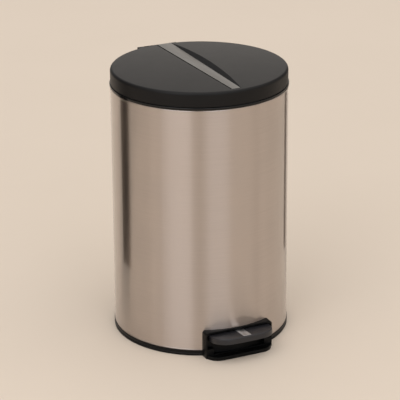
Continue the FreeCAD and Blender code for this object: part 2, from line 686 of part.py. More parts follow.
side_view = padded("hinge_side_view", "YZ_Plane", [
    ("shell_radius - 4 * cut_over", "housing_foot"),
    ("pin_y + housing_back", "housing_foot"),
    ("pin_y + housing_back", "pin_z + housing_crown - housing_corner",
     "pin_y + housing_back - housing_corner", "pin_z + housing_crown - housing_corner", 1),
    ("pin_y + housing_back - housing_corner", "pin_z + housing_crown"),
    ("pin_y", "pin_z + housing_crown", "pin_y", "pin_z", 1),
    ("pin_y - housing_crown", "pin_z"),
    ("pin_y - housing_crown", "can_height + housing_lip"),
    ("shell_radius - 4 * cut_over", "can_height + housing_lip"),
], "housing_half * 2", both=True)
plan_view = padded("hinge_plan_view", "XY_Plane", [
    ("0 - housing_half", "shell_radius - 6 * cut_over"),
    ("housing_half", "shell_radius - 6 * cut_over"),
    ("housing_half", "pin_y + housing_back - housing_corner",
     "housing_half - housing_corner", "pin_y + housing_back - housing_corner", 1),
    ("housing_half - housing_corner", "pin_y + housing_back"),
    ("housing_corner - housing_half", "pin_y + housing_back",
     "housing_corner - housing_half", "pin_y + housing_back - housing_corner", 1),
    ("0 - housing_half", "pin_y + housing_back - housing_corner"),
], "housing_drop + housing_crown + 2 * cut_over", "housing_foot - cut_over")
hinge_block = common("hinge_block", side_view, plan_view)
hinge_room = box("hinge_room",
                 ("0 - barrel_half - barrel_side_gap", "shell_radius - 5 * cut_over",
                  "housing_foot + housing_wall"),
                 ("barrel_half + barrel_side_gap", "pin_y + housing_back - housing_wall",
                  "pin_z + housing_crown + cut_over"))
shell_core = rod("shell_core", "shell_radius", "housing_foot - cut_over", "can_height - collar_height")
collar_core = rod("collar_core", "rim_radius + housing_fit", "can_height - collar_height - housing_fit",
                  "can_height + cut_over")
pin_hole = rod("pin_hole", "pin_radius", "0 - housing_half - cut_over", "housing_half + cut_over", "X",
               ("pin_y", "pin_z"))
node(cut("hinge_housing_cut", hinge_block, hinge_room, shell_core, collar_core, pin_hole,
         *hinge_screw_holes("hinge_hole")), "hinge_housing")

hinge_pin = rod("hinge_pin_rod", "pin_radius", "pin_recess - housing_half",
                "housing_half - pin_recess", "X", ("pin_y", "pin_z"))
node(hinge_pin, "hinge_pin")

screws = []
for side, sign in (("_left", "+"), ("_right", "-")):
    for level in HINGE_SCREW_LEVELS:
        tag = "%s_%s" % (side, level)
        angle = "90 %s hinge_screw_angle" % sign
        height = "housing_foot + %s" % level
        head = spoke("hinge_screw_head" + tag, "screw_head_radius", "shell_inner - screw_head",
                     "shell_inner", angle, height)
        shank = spoke("hinge_screw_shank" + tag, "screw_radius", "shell_inner - screw_head",
                      "shell_inner + screw_length", angle, height)
        shell_room = rod("hinge_screw_room" + tag, "shell_inner", "0", "can_height")
        screws.append(fused("hinge_screw" + tag, common("hinge_head" + tag, head, shell_room), shank))
node(group("hinge_screw_group", screws), "hinge_screws")

# ---- can: guides of the lift rod ---------------------------------------------

for label, low in (("rod_guide_lower", "guide_low"), ("rod_guide_upper", "can_height - guide_drop")):
    high = "%s + guide_thickness" % low
    block = box(label + "_block", ("0 - guide_half", "rod_y - rod_radius - guide_wall", low),
                ("guide_half", "shell_radius", high))
    wall_room = rod(label + "_room", "shell_inner", low, high)
    hole = rod(label + "_hole", "rod_radius + pin_clearance", low, high, "Z", ("0", "rod_y"))
    node(cut(label + "_cut", common(label + "_fitted", block, wall_room), hole), label)

# ---- lid ---------------------------------------------------------------------

lid_blank = turned("lid_blank", [
    ("0", "lid_base"),
    ("lid_radius", "lid_base"),
    ("lid_radius", "lid_shoulder", "dome_radius", "lid_shoulder", 1),
    ("dome_radius", "lid_edge", "0", "dome_centre", 1),
    ("0", "lid_crown"),
])
lid_hollow = turned("lid_hollow", [
    ("0", "lid_base - cut_over"),
    ("lid_radius - lid_wall", "lid_base - cut_over"),
    ("lid_radius - lid_wall", "lid_shoulder", "dome_radius", "lid_shoulder", 1),
    ("dome_radius", "lid_edge - lid_wall", "0", "dome_centre", 1),
    ("0", "lid_crown - lid_wall"),
])


def groove(name, spread, floor, top, end):
    """Wedge of the lid's groove: flat floor, ends upright and sides that slope outwards."""
    body = new_body(name)
    sketches = []
    for level in (floor, top):
        widen = "(%s) + ((%s) - (%s)) / tan(groove_slope)" % (spread, level, floor)
        sketches.append(outline(body, "XY_Plane", [
            ("0 - strip_front_half - (%s)" % widen, "0 - strip_front - (%s)" % end),
            ("strip_front_half + (%s)" % widen, "0 - strip_front - (%s)" % end),
            ("strip_back_half + (%s)" % widen, "strip_back + (%s)" % end),
            ("0 - strip_back_half - (%s)" % widen, "strip_back + (%s)" % end),
        ], level))
    loft = body.newObject("PartDesign::AdditiveLoft", name + "_loft")
    loft.Profile = sketches[0]
    loft.Sections = [sketches[1]]
    loft.Ruled = True
    return body


lid_groove = groove("lid_groove", "strip_gap", "groove_floor", "lid_crown + cut_over", "strip_gap")
groove_belly = groove("groove_belly", "strip_gap + lid_wall", "groove_floor - lid_wall",
                      "lid_crown + cut_over", "lid_wall")
BRACKET_SCREWS = [(across, "flange_front + " + along)
                  for along in ("bracket_screw_front", "bracket_screw_back")
                  for across in ("0 - bracket_screw_half", "bracket_screw_half")]
LINER_ANGLES = (162, 216, 270, 324, 18)
liner_spots = [("liner_screw_circle * cos(%d)" % angle, "liner_screw_circle * sin(%d)" % angle)
               for angle in LINER_ANGLES]
lid_bosses = [rod("liner_boss_%d" % index, "boss_radius", "liner_top", "lid_crown", "Z", spot)
              for index, spot in enumerate(liner_spots)]
lid_bosses += [rod("bracket_boss_%d" % index, "boss_radius", "arm_top", "lid_crown", "Z", spot)
               for index, spot in enumerate(BRACKET_SCREWS)]
lid_room = cut("lid_room", lid_hollow, groove_belly, *lid_bosses)
lid_notch = box("lid_notch",
                ("0 - barrel_half - barrel_side_gap", "shell_radius - notch_depth", "lid_base - cut_over"),
                ("barrel_half + barrel_side_gap", "shell_radius + cut_over", "arm_top + notch_room"))
screw_holes = [rod("liner_hole_%d" % index, "screw_radius", "liner_base",
                   "liner_top + screw_bite + screw_end_room", "Z", spot)
               for index, spot in enumerate(liner_spots)]
screw_holes += [rod("bracket_hole_%d" % index, "screw_radius", "arm_top - cut_over",
                    "arm_top + screw_bite + screw_end_room", "Z", spot)
                for index, spot in enumerate(BRACKET_SCREWS)]
node(cut("lid_shell_cut", lid_blank, lid_groove, lid_room, lid_notch, *screw_holes), "lid_shell")

inlay = padded("lid_strip", "XY_Plane", [
    ("0 - strip_front_half", "0 - strip_front"),
    ("strip_front_half", "0 - strip_front"),
    ("strip_back_half", "strip_back"),
    ("0 - strip_back_half", "strip_back"),
], "strip_thickness", "groove_floor")
node(inlay, "lid_inlay")

liner_disc = turned("liner_disc", [
    ("0", "liner_base"),
    ("lid_radius - lid_wall", "liner_base"),
    ("lid_radius - lid_wall", "liner_top"),
    ("0", "liner_top"),
])
liner_gate = box("liner_gate",
                 ("0 - barrel_half - gate_gap", "flange_front + flange_length", "liner_base - cut_over"),
                 ("barrel_half + gate_gap", "shell_radius + cut_over", "liner_top + cut_over"))
liner_holes = [rod("liner_bore_%d" % index, "screw_radius", "liner_base - cut_over",
                   "liner_top + cut_over", "Z", spot)
               for index, spot in enumerate(liner_spots)]
node(cut("lid_liner_cut", liner_disc, liner_gate, *liner_holes), "lid_liner")

node(group("liner_screw_group",
           [screw_along_z("liner_screw_%d" % index, spot[0], spot[1], "liner_base - screw_head",
                          "liner_thickness + screw_bite")
            for index, spot in enumerate(liner_spots)]), "liner_screws")

bumpers = []
for step, angle in enumerate((210, 270, 330)):
    spot = ("bumper_circle * cos(%d)" % angle, "bumper_circle * sin(%d)" % angle)
    bumpers.append(rod("bumper_%d" % step, "bumper_radius", "ledge_top + bumper_gap", "liner_base",
                       "Z", spot))
node(group("bumper_group", bumpers), "lid_bumpers")

# lid bracket: barrel on the hinge pin, two arms into the lid, a flange and the crank
barrel = rod("barrel", "barrel_radius", "0 - barrel_half", "barrel_half", "X", ("pin_y", "pin_z"))
arms = []
for side, low, high in (("left", "0 - barrel_half", "arm_width - barrel_half"),
                        ("right", "barrel_half - arm_width", "barrel_half")):
    arms.append(box("arm_" + side, (low, "flange_front", "arm_base"), (high, "pin_y", "arm_top")))
bracket_flange = box("bracket_flange", ("0 - barrel_half", "flange_front", "arm_top - flange_thickness"),
                     ("barrel_half", "flange_front + flange_length", "arm_top"))
arm_trim = box("arm_trim", ("0 - barrel_half - cut_over", "flange_front - cut_over", "arm_base - cut_over"),
               ("barrel_half + cut_over", "flange_front + flange_length", "liner_top + arm_trim_gap"))


def crank_outline(half, near, far):
    """Plate or slot along the crank, drawn straight out from the hinge pin."""
    return [
        ("0 - (%s)" % far, "0 - (%s)" % half),
        ("0 - (%s)" % near, "0 - (%s)" % half),
        ("0 - (%s)" % near, half),
        ("0 - (%s)" % far, half),
    ]


crank_turn = Rotation(Vector(1, 0, 0), number("half_swing"))
plate = padded("crank_plate", "YZ_Plane",
               crank_outline("slot_half + slot_margin", "crank_root",
                             "crank_far + rod_radius + slot_end_gap + slot_margin"), "plate_thickness")
place(plate, "crank_offset", "pin_y", "pin_z", crank_turn)
slot = padded("crank_slot", "YZ_Plane",
              crank_outline("slot_half", "crank_reach - rod_radius - slot_end_gap",
                            "crank_far + rod_radius + slot_end_gap"), "plate_thickness + 2 * cut_over")
place(slot, "crank_offset - cut_over", "pin_y", "pin_z", crank_turn)
pin_bore = rod("pin_bore", "pin_radius + pin_clearance", "0 - barrel_half - cut_over",
               "barrel_half + cut_over", "X", ("pin_y", "pin_z"))
bracket_holes = [rod("bracket_bore_%d" % index, "screw_radius", "arm_top - cut_over",
                     "arm_top + cut_over", "Z", spot)
                 for index, spot in enumerate(BRACKET_SCREWS)]
trimmed_arms = cut("trimmed_arms", fused("arm_pair", bracket_flange, *arms), arm_trim)
node(cut("lid_bracket_cut", fused("bracket_blank", barrel, trimmed_arms, plate), slot, pin_bore,
         *bracket_holes), "lid_hinge_bracket")

node(group("bracket_screw_group",
           [screw_along_z("bracket_screw_%d" % index, spot[0], spot[1],
                          "arm_top - flange_thickness - screw_head", "flange_thickness + screw_bite")
            for index, spot in enumerate(BRACKET_SCREWS)]), "bracket_screws")

# ---- pedal: lever, pad, strip, screws ----------------------------------------
# They are modelled level about the lever's pivot and tilted together.

lever_blank = padded("lever_blank", "XZ_Plane", [
    ("0 - lever_half", "0 - web_drop - plate_thickness"),
    ("lever_half", "0 - web_drop - plate_thickness"),
    ("lever_half", "flange_rise"),
    ("lever_half - plate_thickness", "flange_rise"),
    ("lever_half - plate_thickness", "0 - web_drop"),
    ("plate_thickness - lever_half", "0 - web_drop"),
    ("plate_thickness - lever_half", "flange_rise"),
    ("0 - lever_half", "flange_rise"),
], "lever_arm + lever_tail + tongue_end", "0 - lever_arm - lever_tail")
flange_trim = box("flange_trim", ("0 - lever_half - cut_over", "0 - tongue_end - cut_over", "0 - web_drop"),
                  ("lever_half + cut_over", "0 - flange_end", "flange_rise + cut_over"))
fork_room = box("fork_room",
                ("plate_thickness - lever_half", "lever_arm + lever_tail - fork_length",
                 "0 - web_drop - plate_thickness - cut_over"),
                ("lever_half - plate_thickness", "lever_arm + lever_tail + cut_over",
                 "flange_rise + cut_over"))
lever_bore = rod("lever_bore", "pin_radius + pin_clearance", "0 - lever_half - cut_over",
                 "lever_half + cut_over", "X")
stub_hole = box("stub_hole",
                ("lever_half - plate_thickness - cut_over", "lever_arm - rod_radius - rod_slack",
                 "0 - rod_radius - stub_play"),
                ("lever_half + cut_over", "lever_arm + rod_radius + stub_play", "rod_radius + stub_play"))
PEDAL_SCREWS = ("pedal_screw_back - pedal_reach", "pedal_screw_front - pedal_reach")
lever_holes = [rod("lever_hole_%d" % index, "screw_radius", "0 - web_drop - plate_thickness - cut_over",
                   "0 - web_drop", "Z", ("0", spot))
               for index, spot in enumerate(PEDAL_SCREWS)]
lever = cut("pedal_lever_cut", lever_blank, flange_trim, fork_room, lever_bore, stub_hole, *lever_holes)

pad_blank = padded("pedal_blank", "XY_Plane", [
    ("0 - pedal_half", "0 - pedal_near"),
    ("0 - pedal_half", "pedal_corner + pedal_bulge - pedal_reach",
     "pedal_corner - pedal_half", "pedal_corner + pedal_bulge - pedal_reach", 1),
    ("pedal_corner - pedal_half", "pedal_bulge - pedal_reach", "0",
     "pedal_bulge - pedal_reach + ((pedal_half - pedal_corner) * (pedal_half - pedal_corner)"
     " - pedal_bulge * pedal_bulge) / (2 * pedal_bulge)", 1),
    ("pedal_half - pedal_corner", "pedal_bulge - pedal_reach",
     "pedal_half - pedal_corner", "pedal_corner + pedal_bulge - pedal_reach", 1),
    ("pedal_half", "pedal_corner + pedal_bulge - pedal_reach"),
    ("pedal_half", "0 - pedal_near"),
], "pedal_depth", "pedal_plate - web_drop - pedal_depth")
doc.recompute()
pad_solid = pad_blank.Tip
edge_round = pad_blank.newObject("PartDesign::Fillet", "pedal_edges")
for index, face in enumerate(pad_solid.Shape.Faces, start=1):
    middle = face.CenterOfMass
    if face.Surface.TypeId == "Part::GeomPlane" and abs(middle.z - number("pedal_plate - web_drop")) < 0.01:
        top_face = "Face%d" % index
edge_round.Base = (pad_solid, [top_face])
tie(edge_round, "Radius", "pedal_edge")
pad_blank.Tip = edge_round
pad_hollow = padded("pedal_hollow", "XY_Plane", [
    ("pedal_skirt - pedal_half", "cut_over - pedal_near"),
    ("pedal_skirt - pedal_half", "pedal_corner + pedal_bulge - pedal_reach",
     "pedal_corner - pedal_half", "pedal_corner + pedal_bulge - pedal_reach", 1),
    ("pedal_corner - pedal_half", "pedal_skirt + pedal_bulge - pedal_reach"),
    ("pedal_half - pedal_corner", "pedal_skirt + pedal_bulge - pedal_reach",
     "pedal_half - pedal_corner", "pedal_corner + pedal_bulge - pedal_reach", 1),
    ("pedal_half - pedal_skirt", "pedal_corner + pedal_bulge - pedal_reach"),
    ("pedal_half - pedal_skirt", "cut_over - pedal_near"),
], "pedal_depth", "0 - web_drop - pedal_depth")
tread_slot = box("tread_slot",
                 ("0 - tread_half", "0 - tread_end", "pedal_plate - web_drop - tread_depth"),
                 ("tread_half", "0 - pedal_near", "pedal_plate - web_drop + cut_over"))
pad_holes = [rod("pedal_hole_%d" % index, "screw_radius", "0 - web_drop - cut_over",
                 "pedal_screw_bite - web_drop", "Z", ("0", spot))
             for index, spot in enumerate(PEDAL_SCREWS)]
pad = cut("pedal_pad_level", pad_blank, pad_hollow, tread_slot, *pad_holes)
tread = box("pedal_tread",
            ("0 - tread_half", "0 - tread_end", "pedal_plate - web_drop - tread_depth"),
            ("tread_half", "0 - tread_start", "pedal_plate - web_drop - tread_depth + tread_thickness"))
pedal_screw_list = [screw_along_z("pedal_screw_%d" % index, "0", spot,
                                  "0 - web_drop - plate_thickness - screw_head",
                                  "plate_thickness + pedal_screw_bite")
                    for index, spot in enumerate(PEDAL_SCREWS)]


def tilt(thing):
    """Stand a piece of the pedal on the lever's pivot at the lever's slope."""
    thing.Placement = FreeCAD.Placement(Vector(), Rotation(Vector(1, 0, 0), -number("lever_tilt")))
    tie(thing, "Placement.Base.y", "pivot_y")
    tie(thing, "Placement.Base.z", "pivot_z")
    tie(thing, "Placement.Rotation.Angle", "0 - lever_tilt")
    return thing


node(tilt(lever), "pedal_lever")
pad_core = rod("pad_core", "shell_radius + bezel_back + pedal_gap", "0 - cut_over", "can_height")
node(cut("pedal_pad_cut", tilt(pad), pad_core), "pedal_pad")
node(tilt(group("pedal_tread_group", [tread])), "pedal_inlay")
node(tilt(group("pedal_screw_group", pedal_screw_list)), "pedal_screws")

# ---- lift rod ----------------------------------------------------------------

rod_body = new_body("lift_rod_body")
path = rod_body.newObject("Sketcher::SketchObject", "rod_path")
path.AttachmentSupport = (origin_item(rod_body, "XZ_Plane"), "")
path.MapMode = "FlatFace"
low = number("rod_foot")
high = number("rod_head")
bend = number("rod_bend")
reach = number("stub_length")
path.addGeometry(Part.LineSegment(Vector(reach, low, 0), Vector(bend, low, 0)), False)
path.addGeometry(Part.ArcOfCircle(Part.Circle(Vector(bend, low + bend, 0), Vector(0, 0, 1), bend),
                                  math.pi, 1.5 * math.pi), False)
path.addGeometry(Part.LineSegment(Vector(0, low + bend, 0), Vector(0, high - bend, 0)), False)
path.addGeometry(Part.ArcOfCircle(Part.Circle(Vector(bend, high - bend, 0), Vector(0, 0, 1), bend),
                                  0.5 * math.pi, math.pi), False)
path.addGeometry(Part.LineSegment(Vector(bend, high, 0), Vector(reach, high, 0)), False)
for first, first_end, second, second_end in ((0, 2, 1, 2), (1, 1, 2, 1), (2, 2, 3, 2), (3, 1, 4, 1)):
    path.addConstraint(Sketcher.Constraint("Coincident", first, first_end, second, second_end))
pin_point(path, 0, 1, "stub_length", "rod_foot", "both")
pin_point(path, 1, 2, "rod_bend", "rod_foot", "both")
pin_point(path, 1, 1, "0", "rod_foot + rod_bend", "both")
pin_point(path, 1, 3, "rod_bend", "rod_foot + rod_bend", "across")
pin_point(path, 3, 2, "0", "rod_head - rod_bend", "both")
pin_point(path, 3, 1, "rod_bend", "rod_head", "both")
pin_point(path, 3, 3, "rod_bend", "rod_head - rod_bend", "across")
pin_point(path, 4, 2, "stub_length", "rod_head", "both")
section = rod_body.newObject("Sketcher::SketchObject", "rod_section")
section.AttachmentSupport = (origin_item(rod_body, "YZ_Plane"), "")
section.MapMode = "FlatFace"
tie(section, "AttachmentOffset.Base.z", "stub_length")
section.addGeometry(Part.Circle(Vector(0, low, 0), Vector(0, 0, 1), number("rod_radius")), False)
pin_point(section, 0, 3, "0", "rod_foot", "both")
radius_index = section.addConstraint(Sketcher.Constraint("Radius", 0, number("rod_radius")))
tie(section, "Constraints[%d]" % radius_index, "rod_radius")
pipe = rod_body.newObject("PartDesign::AdditivePipe", "rod_pipe")
pipe.Profile = section
pipe.Spine = path
place(rod_body, "0", "rod_y", "0")
node(rod_body, "lift_rod")

clips = []
for name, height in (("lower", "rod_foot"), ("upper", "rod_head")):
    disc = rod("rod_clip_%s_disc" % name, "clip_radius", "clip_low", "clip_high", "X", ("rod_y", height))
    bore = rod("rod_clip_%s_bore" % name, "rod_radius", "clip_low", "clip_high", "X", ("rod_y", height))
    clips.append(cut("rod_clip_" + name, disc, bore))
node(group("rod_clip_group", clips), "rod_clips")

# ---- bucket and bail ---------------------------------------------------------

bucket_blank = turned("bucket_blank", [
    ("0", "bucket_floor_height"),
    ("bucket_foot_radius", "bucket_floor_height"),
    ("bucket_radius", "ledge_top + bucket_seat_gap"),
    ("bucket_radius + bucket_flange", "ledge_top + bucket_seat_gap"),
    ("bucket_radius + bucket_flange", "bucket_top"),
    ("bucket_radius - bucket_wall", "bucket_top"),
    ("bucket_foot_radius - bucket_wall", "bucket_floor_height + bucket_wall"),
    ("0", "bucket_floor_height + bucket_wall"),
])
flange_flat = box("flange_flat",
                  ("0 - notch_half_width - flange_flat_play", "bucket_radius + flange_flat_inset",
                   "ledge_top - cut_over"),
                  ("notch_half_width + flange_flat_play", "rim_radius", "bucket_top + cut_over"))
ears = []
bores = []
ear_root = "bucket_radius - ear_inset"
ear_end = "bucket_radius - ear_inset - bail_boss_depth"
for side, low_x, high_x in (("left", "0 - (%s)" % ear_root, "0 - (%s)" % ear_end),
                            ("right", ear_end, ear_root)):
    ears.append(box("ear_" + side, (low_x, "0 - bail_boss_half", "bail_z - bail_boss_half"),
                    (high_x, "bail_boss_half", "bail_z + bail_boss_half")))
bore_end = ear_end + " - cut_over"
for side, low_x, high_x in (("left", "bail_bore_inset - bucket_radius", "0 - (%s)" % bore_end),
                            ("right", bore_end, "bucket_radius - bail_bore_inset")):
    bores.append(rod("ear_bore_" + side, "bail_wire_radius + bail_bore_play", low_x, high_x, "X",
                     ("0", "bail_z")))
node(cut("inner_bucket_cut",
         fused("bucket_with_ears", bucket_blank,
               common("ears_fitted", group("ear_pair", ears),
                      rod("ear_room", "bucket_radius - ear_inset", "0", "can_height"))),
         flange_flat, *bores), "inner_bucket")

bail_body = new_body("bail_body")
bail_path = bail_body.newObject("Sketcher::SketchObject", "bail_path")
bail_path.AttachmentSupport = (origin_item(bail_body, "XY_Plane"), "")
bail_path.MapMode = "FlatFace"
arc = number("bail_radius")
bend = number("bail_bend")
tip_x = number("bail_tip")
bail_path.addGeometry(Part.LineSegment(Vector(tip_x, 0, 0), Vector(arc + bend, 0, 0)), False)
bail_path.addGeometry(Part.ArcOfCircle(Part.Circle(Vector(arc + bend, -bend, 0), Vector(0, 0, 1), bend),
                                       0.5 * math.pi, math.pi), False)
bail_path.addGeometry(Part.ArcOfCircle(Part.Circle(Vector(0, -bend, 0), Vector(0, 0, 1), arc),
                                       math.pi, 2 * math.pi), False)
bail_path.addGeometry(Part.ArcOfCircle(Part.Circle(Vector(-arc - bend, -bend, 0), Vector(0, 0, 1), bend),
                                       0, 0.5 * math.pi), False)
bail_path.addGeometry(Part.LineSegment(Vector(-arc - bend, 0, 0), Vector(-tip_x, 0, 0)), False)
for first, first_end, second, second_end in ((0, 2, 1, 1), (1, 2, 2, 2), (2, 1, 3, 1), (3, 2, 4, 1)):
    bail_path.addConstraint(Sketcher.Constraint("Coincident", first, first_end, second, second_end))
pin_point(bail_path, 0, 1, "bail_tip", "0", "both")
pin_point(bail_path, 1, 1, "bail_radius + bail_bend", "0", "both")
pin_point(bail_path, 1, 3, "bail_radius + bail_bend", "0 - bail_bend", "across")
pin_point(bail_path, 2, 2, "bail_radius", "0 - bail_bend", "both")
pin_point(bail_path, 2, 1, "0 - bail_radius", "0 - bail_bend", "both")
pin_point(bail_path, 2, 3, "0", "0 - bail_bend", "up")
pin_point(bail_path, 3, 2, "0 - bail_radius - bail_bend", "0", "both")
pin_point(bail_path, 3, 3, "0 - bail_radius - bail_bend", "0 - bail_bend", "across")
pin_point(bail_path, 4, 2, "0 - bail_tip", "0", "both")
bail_section = bail_body.newObject("Sketcher::SketchObject", "bail_section")
bail_section.AttachmentSupport = (origin_item(bail_body, "YZ_Plane"), "")
bail_section.MapMode = "FlatFace"
tie(bail_section, "AttachmentOffset.Base.z", "bail_tip")
bail_section.addGeometry(Part.Circle(Vector(), Vector(0, 0, 1), number("bail_wire_radius")), False)
bail_section.addConstraint(Sketcher.Constraint("Coincident", 0, 3, -1, 1))
radius_index = bail_section.addConstraint(Sketcher.Constraint("Radius", 0, number("bail_wire_radius")))
tie(bail_section, "Constraints[%d]" % radius_index, "bail_wire_radius")
bail_pipe = bail_body.newObject("PartDesign::AdditivePipe", "bail_pipe")
bail_pipe.Profile = bail_section
bail_pipe.Spine = bail_path
place(bail_body, "0", "0", "bail_z")
node(bail_body, "bail_wire")


def grip_ring(name, radius):
    """Stretch of a torus around the bail at the pedal side."""
    ring = doc.addObject("Part::Torus", name)
    tie(ring, "Radius1", "bail_radius")
    tie(ring, "Radius2", radius)
    tie(ring, "Angle3", "2 * bail_grip_half_angle")
    heading = 270 - number("bail_grip_half_angle")
    return place(ring, "0", "0 - bail_bend", "bail_z", Rotation(Vector(0, 0, 1), heading))


node(cut("bail_grip_cut", grip_ring("grip_outer", "bail_grip_radius"),
         grip_ring("grip_inner", "bail_wire_radius")), "bail_grip")

# ---- check and write ---------------------------------------------------------

doc.recompute()
for thing in doc.Objects:
    if "Invalid" in thing.State or "Error" in thing.State:
        raise RuntimeError("%s failed: %s" % (thing.Name, thing.State))
for thing in nodes:
    if thing.Shape.isNull() or not thing.Shape.isValid():
        raise RuntimeError("%s has no valid shape" % thing.Label)
os.makedirs("parts", exist_ok=True)
for thing in nodes:
    thing.Shape.exportStep("parts/%s.step" % thing.Label)
    box_now = thing.Shape.BoundBox
    print("%-20s solids %2d  volume %10.1f  x %.1f %.1f  y %.1f %.1f  z %.1f %.1f" % (
        thing.Label, len(thing.Shape.Solids), thing.Shape.Volume, box_now.XMin, box_now.XMax,
        box_now.YMin, box_now.YMax, box_now.ZMin, box_now.ZMax))
print(len(nodes), "nodes")
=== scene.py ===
import json
import math

import bmesh
import bpy
from mathutils import Matrix, Vector


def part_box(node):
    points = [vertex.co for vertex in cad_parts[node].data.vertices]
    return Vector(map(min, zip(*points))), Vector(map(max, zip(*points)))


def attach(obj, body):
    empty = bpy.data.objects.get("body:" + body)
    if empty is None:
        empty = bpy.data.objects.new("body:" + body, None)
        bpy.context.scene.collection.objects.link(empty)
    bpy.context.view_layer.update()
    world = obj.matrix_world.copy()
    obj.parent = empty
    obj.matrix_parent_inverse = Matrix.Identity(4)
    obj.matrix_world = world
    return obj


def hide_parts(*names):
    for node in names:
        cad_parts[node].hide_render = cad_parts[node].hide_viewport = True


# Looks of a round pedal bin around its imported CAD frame. Metres, +Z up, -Y is the
# pedal side. Outer places come from the boxes of the CAD nodes, walls and details
# from the named sizes below.

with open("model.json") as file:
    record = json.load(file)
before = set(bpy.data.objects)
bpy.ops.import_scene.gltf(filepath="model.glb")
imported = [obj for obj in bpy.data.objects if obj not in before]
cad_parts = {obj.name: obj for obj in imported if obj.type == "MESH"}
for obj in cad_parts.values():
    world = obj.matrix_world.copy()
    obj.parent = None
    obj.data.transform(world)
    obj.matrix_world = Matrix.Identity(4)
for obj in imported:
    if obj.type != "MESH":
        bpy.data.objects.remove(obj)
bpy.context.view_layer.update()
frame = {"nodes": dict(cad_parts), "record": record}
MM = 0.001


# ---- places read from the frame ------------------------------------------------

BODY_OF = {node: body for body, nodes in frame["record"]["behaviour"]["bodies"].items() for node in nodes}
SLOT_OF = {entry["node"]: entry["material_slot"] for entry in frame["record"]["subparts"]}

shell_low, shell_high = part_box("outer_shell")
collar_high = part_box("top_collar")[1]
ring_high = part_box("base_ring")[1]
lid_low, lid_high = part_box("lid_shell")
liner_low, liner_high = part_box("lid_liner")
strip_low, strip_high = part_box("lid_inlay")
bucket_low, bucket_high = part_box("inner_bucket")
pan_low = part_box("base_pan")[0]
bail_low, bail_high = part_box("bail_wire")
grip_low, grip_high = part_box("bail_grip")
hinge_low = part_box("hinge_housing")[0]
bracket_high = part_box("lid_hinge_bracket")[1]
SHELL_R = shell_high.x
COLLAR_R = collar_high.x
LID_R = lid_high.x


# ---- meshes ----------------------------------------------------------------------

TINY = 1e-7                           # a radius below this is a point on the axis
STRAIGHT = 1e-4                       # two directions closer than this angle are one
WELD = 1e-6                           # vertices closer than this are one
FLAT = math.radians(0.5)              # faces within this angle make one flat face
SIDE_SHARE = 0.49                     # most of a profile's side that one rounding takes
BEVEL_STEPS = 3
BEVEL_FROM = math.radians(35)         # edges sharper than this are rounded
ARC_STEPS = 24


def finish_mesh(name, mesh, material, body, replaced=(), sharp=35):
    """Make the piece from its mesh: smooth shading with sharp edges, material and body."""
    mesh.shade_smooth()
    mesh.set_sharp_from_angle(angle=math.radians(sharp))
    piece = bpy.data.objects.new(name, mesh)
    bpy.context.scene.collection.objects.link(piece)
    piece.data.materials.clear()
    piece.data.materials.append(material)
    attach(piece, body)
    if replaced:
        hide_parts(*replaced)
    return piece


def closed_mesh(bm, name):
    """The mesh of a finished closed form, with its normals outwards."""
    bmesh.ops.recalc_face_normals(bm, faces=bm.faces)
    mesh = bpy.data.meshes.new(name)
    bm.to_mesh(mesh)
    bm.free()
    return mesh


def rounded(corners, steps=4):
    """Closed profile of (radius, height, rounding) with each corner turned into an arc."""
    points = []
    count = len(corners)
    for index, corner in enumerate(corners):
        here = Vector(corner[:2])
        size = corner[2] if len(corner) > 2 else 0
        if size <= 0:
            points.append(here)
            continue
        back = Vector(corners[index - 1][:2]) - here
        ahead = Vector(corners[(index + 1) % count][:2]) - here
        half = back.angle(ahead) / 2
        reach = min(size / math.tan(half), back.length * SIDE_SHARE, ahead.length * SIDE_SHARE)
        radius = reach * math.tan(half)
        start = here + back.normalized() * reach
        end = here + ahead.normalized() * reach
        centre = here + (back.normalized() + ahead.normalized()).normalized() * (radius / math.sin(half))
        first = start - centre
        last = end - centre
        for step in range(steps + 1):
            share = step / steps
            mix = first.slerp(last, share) if first.angle(last) > STRAIGHT else first
            points.append(centre + mix.normalized() * radius)
    return points


def lathe_mesh(name, profile, steps=256, centre=(0, 0)):
    """A closed profile of (radius, height) turned about a vertical axis."""
    bm = bmesh.new()
    rings = []
    for radius, height in profile:
        if radius < TINY:
            rings.append([bm.verts.new((centre[0], centre[1], height))])
            continue
        rings.append([bm.verts.new((centre[0] + radius * math.cos(2 * math.pi * k / steps),
                                    centre[1] + radius * math.sin(2 * math.pi * k / steps), height))
                      for k in range(steps)])
    count = len(rings)
    for index in range(count):
        low = rings[index]
        high = rings[(index + 1) % count]
        if len(low) == 1 and len(high) == 1:
            continue
        for k in range(steps):
            after = (k + 1) % steps
            if len(low) == 1:
                bm.faces.new((low[0], high[after], high[k]))
            elif len(high) == 1:
                bm.faces.new((low[k], low[after], high[0]))
            else:
                bm.faces.new((low[k], low[after], high[after], high[k]))
    return closed_mesh(bm, name)


def prism_mesh(name, low_ring, high_ring):
    """A closed block between two rings of the same number of points."""
    bm = bmesh.new()
    low = [bm.verts.new(point) for point in low_ring]
    high = [bm.verts.new(point) for point in high_ring]
    bm.faces.new(low)
    bm.faces.new(high)
    for index in range(len(low)):
        after = (index + 1) % len(low)
        bm.faces.new((low[index], low[after], high[after], high[index]))
    return closed_mesh(bm, name)


def block_mesh(name, low, high):
    """A block between two corners."""
    base = [(low[0], low[1]), (high[0], low[1]), (high[0], high[1]), (low[0], high[1])]
    return prism_mesh(name, [(x, y, low[2]) for x, y in base], [(x, y, high[2]) for x, y in base])


